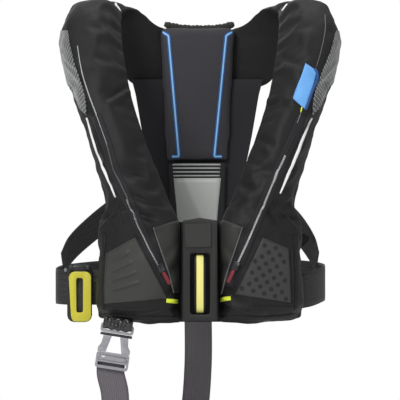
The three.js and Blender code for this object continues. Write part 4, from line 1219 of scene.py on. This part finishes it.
roundedNodes = [
    ("release_base", 0.9, "blackPlastic", "buckle_black"), ("release_lever", 1.1, "yellowPlastic", "buckle_yellow"),
    ("release_pin", 0.4, "pinSteel", "pin_steel"), ("crotch_socket", 1.0, "clipMetal", "clip_metal"),
    ("crotch_plug", 1.0, "clipMetal", "clip_metal"), ("plug_arm_right", 0.8, "clipMetal", "clip_metal"),
    ("plug_arm_left", 0.8, "clipMetal", "clip_metal"), ("socket_bar", 0.4, "blackPlastic", "buckle_black"),
    ("zip_slider_right", 0.9, "zipMetal", "zip_metal"), ("zip_slider_left", 0.9, "zipMetal", "zip_metal"),
    ("zip_pull_right", 0.4, "redCord", "pull_cloth"), ("zip_pull_left", 0.4, "redCord", "pull_cloth"),
    ("centre_panel", 1.6, "centreCloth", "panel_cloth"), ("soft_loop", 0.8, "loopCloth", "loop_webbing"),
    ("loop_marker", 0.3, "markerCloth", "marker_cloth"), ("inflator_body", 1.5, "blackPlastic", "buckle_black"),
    ("gas_cylinder", 0.3, "cylinderSteel", "cylinder_steel"), ("inflator_cap", 0.8, "yellowPlastic", "buckle_yellow"),
    ("firing_lever", 0.8, "redPlastic", "toggle_red"), ("pull_toggle", 0.8, "redPlastic", "toggle_red"),
    ("oral_tube", 0.4, "blackPlastic", "buckle_black"), ("oral_cap", 0.8, "yellowPlastic", "buckle_yellow"),
]
rounded = {node: roundedCopy(node, width, look, slot) for node, width, look, slot in roundedNodes}

lever = {"middle": -177.0, "taperFrom": -392.0, "taperTo": -424.0, "taper": 0.34, "topFrom": -372.0, "topTo": -358.0,
         "topTaper": 0.16, "neck": -357.6}


def shapeLever(piece):
    # the grip narrows on its outer side, and the knuckle that carries it is black
    points = meshPoints(piece)
    x, z = points[:, 0] / mm, points[:, 2] / mm
    low = np.clip((lever["taperFrom"] - z) / (lever["taperFrom"] - lever["taperTo"]), 0, 1) ** 1.6
    high = np.clip((z - lever["topFrom"]) / (lever["topTo"] - lever["topFrom"]), 0, 1) * (z < lever["neck"])
    share = 1 - lever["taper"] * low - lever["topTaper"] * high
    points[:, 0] = np.where(x < lever["middle"], lever["middle"] + (x - lever["middle"]) * share, x) * mm
    setPoints(piece, points)
    piece.data.materials.append(materials["blackPlastic"])
    for face in piece.data.polygons:
        face.material_index = int(face.center.z > lever["neck"] * mm)


shapeLever(rounded["release_lever"])

clip = {"place": (-118, -222, -433), "tilt": 9.0, "width": 43.0, "top": 9.0, "bottom": -9.6, "depth": 7.2,
        "rows": 56, "around": 34}


def onClip(x, y, z):
    # the clip's own millimetres to the jacket's metres
    turn = math.radians(clip["tilt"])
    px, py, pz = clip["place"]
    return ((px + x * math.cos(turn) + z * math.sin(turn)) * mm, (py + y) * mm,
            (pz - x * math.sin(turn) + z * math.cos(turn)) * mm)


def makeWrap():
    # webbing folded and bunched over the clip's top rail
    points, uvs = [], []
    half, centre = (clip["top"] - clip["bottom"]) / 2, (clip["top"] + clip["bottom"]) / 2
    for row in range(clip["rows"] + 1):
        share = row / clip["rows"] * 2 - 1
        x = share * clip["width"] / 2
        fat = 0.6 + 0.4 * math.sqrt(max(0.0, 1 - abs(share) ** 5))
        for k in range(clip["around"]):
            turn = 2 * math.pi * k / clip["around"]
            c, s = math.cos(turn), math.sin(turn)
            y = clip["depth"] * fat * math.copysign(abs(c) ** 0.65, c)
            z = half * fat ** 0.4 * math.copysign(abs(s) ** 0.65, s)
            pleat = math.sin(x * 0.62 + 2.2 * noise.noise(Vector((x * 0.05, 4.0, z * 0.16))))
            fold = 0.2 * noise.noise(Vector((x * 0.13, y * 0.12, z * 0.12 + 3))) + 0.12 * pleat
            points.append(onClip(x, y * (1 + fold * 1.5), centre + z * (1 + fold * 0.5)))
            uvs.append((x * mm, k / clip["around"] * 0.05))
    piece = meshObject("anchorWrap", points, loftFaces(clip["rows"] + 1, clip["around"]), "wrapCloth", uvs)
    settle(subdivide(piece), "loop_webbing", "crotch_anchor")


def block(name, outline, front, back, look):
    # flat block between two depths, outlined in front-view millimetres
    count = len(outline)
    points = [(x * mm, y * mm, z * mm) for y in (front, back) for x, z in outline]
    faces = [tuple(range(count)), tuple(range(2 * count - 1, count - 1, -1))]
    faces += [(k, k + count, (k + 1) % count + count, (k + 1) % count) for k in range(count)]
    return meshObject(name, points, faces, look, smooth=False)


def plate(name, outline, front, back, look, slot):
    made = block(name, outline, front, back, look)
    bevelled(made, 0.5)
    settle(bake(made), slot)


strapBar = {"length": 40.5, "front": -1.3, "low": -50.6, "deep": 3.5, "high": 4.1, "around": 18, "rows": 5}
armStretch = 0.1


def makeClipDetails():
    # the rounded bar that the strap is adjusted on, and arms that reach their frame
    points, rows, around = [], strapBar["rows"], strapBar["around"]
    for row in range(rows):
        x = (row / (rows - 1) - 0.5) * strapBar["length"]
        for turn in [2 * math.pi * k / around for k in range(around)]:
            y = strapBar["front"] + strapBar["deep"] * math.cos(turn)
            points.append(onClip(x, y, strapBar["low"] + strapBar["high"] * math.sin(turn)))
    settle(meshObject("plugBar", points, loftFaces(rows, around), "clipMetal"), "clip_metal", body="crotch_clip")
    down = unit(np.array(onClip(0, 0, -25.5)) - np.array(onClip(0, 0, -24.5)))
    for node in ("plug_arm_right", "plug_arm_left"):
        points = meshPoints(rounded[node])
        along = points @ down
        setPoints(rounded[node], points + np.outer((along - (along.min() + along.max()) / 2) * armStretch, down))


def makeCentrePatch():
    # stitched patch and seams on the front of the centre panel
    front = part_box("centre_panel")[0].y / mm
    corners = [(-22.5, -288), (16, -287), (16, -322), (-21.5, -323)]
    plate("centrePatch", corners, front - 1.0, front + 0.4, "patchCloth", "panel_cloth")
    seams = {
        "patchStitch": (corners + corners[:1], 1.1), "panelSeamRight": ([(-26, -286), (-26, -428)], 0.0),
        "panelSeamLeft": ([(21, -286), (25, -428)], 0.0),
    }
    for name, (line, rise) in seams.items():
        spots = []
        for a, b in zip(line, line[1:]):
            steps = int(math.dist(a, b) / 3)
            way = Vector((b[0] - a[0], 0, b[1] - a[1])).normalized()
            for share in [(k + 0.5) / steps for k in range(steps)]:
                x, z = [a[k] + (b[k] - a[k]) * share for k in range(2)]
                spots.append(((x * mm, (front - rise) * mm, z * mm), (0, -1, 0), way))
        repeatAt(name, spots, (0.6, 2.2, 0.5), "darkThread", slot="panel_cloth")


makeWrap()
makeClipDetails()
makeCentrePatch()
plate("centreLining", [(-37, -286), (37, -286), (37, -430), (-37, -430)], -219.5, -217.5, "liningCloth",
      "lining_cloth")
plate("sideTab", [(140, -300), (150, -303), (159, -308), (157, -314), (150, -321), (140, -324)], -172, -169.5,
      "podCloth", "cover_cloth")
repeatAt("beltStud", [((-0.1946, -0.1628, -0.3556), (0, -1, 0), (0, 0, 1))], (4.2, 5.6, 3.0), "pinSteel", dots=True,
         slot="pin_steel")
print("hard parts ready")

# back of the jacket

backPads = {
    "back_pad": {"outline": [(-60, -9), (-53, -3), (-40, -1), (32, -1), (45, -3), (52, -9), (44, -167), (40, -197),
                             (-48, -197), (-52, -167)],
                 "front": -17.2, "back": -6.9, "look": "padCloth", "slot": "pad_cloth", "pressure": 5.0,
                 "slack": -0.015, "moveLimit": 3.0},
    "lumbar_pad": {"outline": [(-48, -199), (40, -199), (38, -290), (62, -360), (66, -390), (-74, -390), (-70, -360),
                               (-46, -290)],
                   "front": -16.6, "back": -6.9, "look": "lumbarCloth", "slot": "lumbar_cloth", "pressure": 3.0,
                   "slack": -0.01, "moveLimit": 1.6},
}


def makePad(node, look):
    pad = block(f"{node}Soft", look["outline"], look["front"], look["back"], look["look"])
    remesh = pad.modifiers.new("remesh", "REMESH")
    remesh.mode = "VOXEL"
    remesh.voxel_size = 0.004
    bake(pad)
    held = np.nonzero(meshPoints(pad)[:, 1] > (look["back"] - 1.5) * mm)[0]
    puffUp(pad, held, look)
    smooth = pad.modifiers.new("smooth", "CORRECTIVE_SMOOTH")
    smooth.iterations = 6
    smooth.use_only_smooth = True
    bake(pad)
    roughen(pad, 0.5, 34.0, 12)
    subdivide(pad)
    pad.data.materials.clear()
    pad.data.materials.append(materials[look["look"]])
    pad.data.polygons.foreach_set("use_smooth", [True] * len(pad.data.polygons))
    settle(pad, look["slot"], node)
    return pad


trimPaths = {
    "right": [(-58, -7), (-47, -14), (-46, -16), (-31, -189), (-32, -191), (-41, -191)],
    "left": [(50, -7), (39, -14), (38, -16), (21, -189), (22, -191), (32, -191)],
}
padSeams = {"right": [(-56, -22), (-50, -100), (-44, -190)], "left": [(48, -22), (42, -100), (36, -190)]}


def polyStrip(name, line, width, look, lift, thick, tree, *nodes):
    # straight runs with mitred corners, for the welded trim
    points = [np.array(p, float) for p in line]
    runs = [unit(b - a) for a, b in zip(points, points[1:])]
    sides = []
    for before, after in zip(runs[:1] + runs, runs + runs[-1:]):
        along = unit(before + after)
        sides.append(np.array([along[1], -along[0]]) / max(0.5, float(along @ after)))
    rings = []
    up, down = Vector((0, -1, 0)) * (lift + thick) * mm, Vector((0, 1, 0)) * 0.6 * mm
    for k in range(len(points) - 1):
        steps = max(1, int(np.linalg.norm(points[k + 1] - points[k]) / 6))
        for share in [step / steps for step in range(steps + (k == len(points) - 2))]:
            centre = points[k] + (points[k + 1] - points[k]) * share
            side = sides[k] + (sides[k + 1] - sides[k]) * share
            a, b = [onCloth(*(centre + side * turn * width / 2), tree=tree)[0] for turn in (-1, 1)]
            rings.append([a + up, b + up, b + down, a + down])
    made = meshObject(name, [p for ring in rings for p in ring], loftFaces(len(rings), 4), look, smooth=False)
    settle(made, "blue_trim", *nodes)


def makeBack():
    pads = {node: makePad(node, look) for node, look in backPads.items()}
    padTree, lumbarTree = clothTree(pads["back_pad"]), clothTree(pads["lumbar_pad"])
    for side, line in trimPaths.items():
        polyStrip(f"trimEdge_{side}", line, 6.2, "labelEdge", 0.3, 0.5, padTree)
        polyStrip(f"trim_{side}", line, 2.4, "blueTrim", 0.7, 0.7, padTree, f"blue_trim_{side}")
    silver = {"slot": "reflective_cloth", "tree": lumbarTree}
    for k, z in enumerate((-203, -208, -213.5, -219)):
        line = [(-40 + 0.4 * k, z), (-5, z), (30 - 0.4 * k, z)]
        stripOn(f"lumbarStripe_{k}", line, 2.0, "silverThread", lift=0.5, thick=0.5, spacing=5.0, crown=0.1, **silver)
    edges = ([(-38.5, -222.5), (-34, -270), (-32, -300)], [(30.5, -222.5), (26, -270), (24, -300)])
    gridOn("reflector", edges, 10, 14, "reflective", 0.9, lift=0.6, nodes=["back_reflector"], **silver)
    roundedCopy("back_yoke", 0.7, "liningCloth", "lining_cloth")
    up, out = Vector((0.08, 0, 1)), Vector((0, -1, 0))
    for side, line in padSeams.items():
        spots = [(onCloth(x, z, 0.2, padTree)[0], out, up) for x, z in evenly(line, 4.0)]
        repeatAt(f"padStitch_{side}", spots, (0.5, 0.35, 2.4), "darkThread", slot="pad_cloth")


binding = {
    "line": [(-52, -4, 3.0), (-46, -4, 0.8), (-26, -2, -3.0), (0, -1, -4.0), (26, -2, -3.0), (44, -4, 0.8),
             (50, -4, 3.0)],
    "radius": 5.0, "ripple": 0.4, "around": 14,
}


def makeBinding():
    # elastic binding: gathered into small uneven pleats
    places = evenly(binding["line"], 0.9)
    last, around = len(places) - 1, binding["around"]
    rng = np.random.default_rng(5)
    phase = np.cumsum(0.75 + 0.5 * rng.random(len(places))) * 0.95
    points = []
    for k, place in enumerate(places):
        along = unit(places[min(k + 1, last)] - places[max(k - 1, 0)])
        up = unit(np.cross(along, (0, 1, 0)))
        depth = np.cross(along, up) * 0.8
        swell = binding["radius"] + binding["ripple"] * math.sin(phase[k]) + 0.3 * math.sin(phase[k] * 0.37 + 1)
        swell *= min(1.0, 0.55 + 0.09 * min(k, last - k)) * mm
        lean = 0.1 * math.sin(phase[k])
        points += [place * mm + (up * math.cos(a) + depth * math.sin(a + lean)) * swell
                   for a in np.linspace(0, 2 * math.pi, around + 1)[:-1]]
    uvs = [(j / around * 0.028, k * 0.0009) for k in range(last + 1) for j in range(around)]
    piece = meshObject("collarBinding", points, loftFaces(last + 1, around), "bindingCloth", uvs)
    settle(piece, "binding_cloth", "collar_binding")


makeBack()
makeBinding()
print("back ready")

# webbing

ribbonLooks = {
    "belt_right": {"line": [(-134, -161, -381), (-160, -163, -381), (-188, -160, -381), (-205, -144, -380),
                            (-208, -112, -378), (-198, -68, -374),
                            (-165, -24, -370), (-115, 2, -366), (-62, 8, -364), (-1.5, 8, -364)],
                   "lay": [(0, 0, 1), (0, 0, 1)], "width": 50.0, "look": "harnessWeb"},
    "belt_left": {"line": [(134, -161, -388), (156, -158, -384), (174, -134, -378), (181, -94, -374),
                           (170, -46, -370), (126, -6, -366),
                           (70, 8, -364), (1.5, 8, -364)],
                  "lay": [(0, 0, 1), (0, 0, 1)], "width": 50.0, "look": "harnessWeb"},
    "side_strap_right": {"line": [(-66, 4, -232), (-112, -16, -262), (-152, -52, -292), (-186, -96, -324),
                                  (-199, -122, -346)],
                         "lay": [(-0.35, -0.1, 0.9), (-0.3, -0.35, 0.85), (-0.1, -0.6, 0.8)], "width": 38.0,
                         "look": "sideWeb"},
    "side_strap_left": {"line": [(66, 4, -232), (108, -16, -262), (140, -52, -292), (162, -90, -324),
                                 (170, -112, -344)],
                        "lay": [(0.35, -0.1, 0.9), (0.3, -0.35, 0.85), (0.1, -0.6, 0.8)], "width": 38.0,
                        "look": "sideWeb"},
    "back_webbing": {"line": [(0, -2.5, -106), (0, -2.5, -200), (0, -2.5, -300), (0, -2.5, -392)],
                     "lay": [(1, 0, 0), (1, 0, 0)], "width": 50.0,
                     "look": "harnessWeb"},
}


def makeRibbon(name, look, thickness=2.0, across=8):
    line, lay, half = look["line"], look["lay"], look["width"] / 2
    steps = int(sum(np.linalg.norm(np.subtract(a, b)) for a, b in zip(line, line[1:])) / 5)
    ends = len(line) - 1
    points, uvs, centres = [], [], []
    run = 0.0
    for share in [k / steps for k in range(steps + 1)]:
        centre = centripetal(line, share * ends)
        near, far = [centripetal(line, min(max(share + shift, 0), 1) * ends) for shift in (-0.002, 0.002)]
        ahead = unit(far - near)
        side = centripetal(lay, share * (len(lay) - 1))
        side = unit(side - ahead * (side @ ahead))
        out = np.cross(ahead, side)
        centres.append(centre)
        run += float(np.linalg.norm(centre - centres[-2])) if len(centres) > 1 else 0.0
        wave = 0.7 * noise.noise(Vector(centre * 0.03)) * min(1.0, 8 * share, 8 * (1 - share))
        for face in (1, -1):
            for j in range(across + 1):
                place = (j / across * 2 - 1) * face
                rise = face * thickness / 2 * (1 - 0.35 * abs(place) ** 8) + wave * (1 - place ** 2) * 0.6
                points.append((centre + side * half * place + out * rise) * mm)
                uvs.append((place * half * mm, run * mm))
    piece = meshObject(f"{name}Web", points, loftFaces(steps + 1, 2 * (across + 1)), look["look"], uvs)
    return piece


for node, look in ribbonLooks.items():
    piece = makeRibbon(node, look)
    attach(piece, "root")
    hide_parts(node)

crotch = {"line": [(-127.6, -218.0, -487.5), (-129.0, -218.0, -502.2), (-123.0, -216.0, -530.2), (-120, -210, -572),
                   (-104, -184, -622), (-66, -118, -650),
                   (-28, -52, -626), (-10, -16, -572), (-3, -5.1, -500), (-3, -5.1, -399.5)],
          "lay": [(0.99, 0, -0.15), (1, 0, 0), (1, 0, 0), (0.93, -0.36, 0), (0.93, -0.36, 0), (1, 0, 0), (1, 0, 0)],
          "width": 40.0, "look": "crotchWeb", "slot": "crotch_webbing"}
strap = makeRibbon("crotch_strap", crotch)
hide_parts("crotch_strap")
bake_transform(strap)
print("webbing ready")


floor = {"side": 1.6, "back": 1.15, "gap": 0.004}


def makeFloor():
    materials["paleFloor"] = plasticMaterial("paleFloor", tones("e8e8e8 f4f4f4 f4f4f4", 0.7))
    side, level = floor["side"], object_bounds()[0].z - floor["gap"]
    corners = [(-side, -side, level), (side, -side, level), (side, floor["back"], level),
               (-side, floor["back"], level)]
    meshObject("floor", corners, [(0, 1, 2, 3)], "paleFloor")


makeFloor()
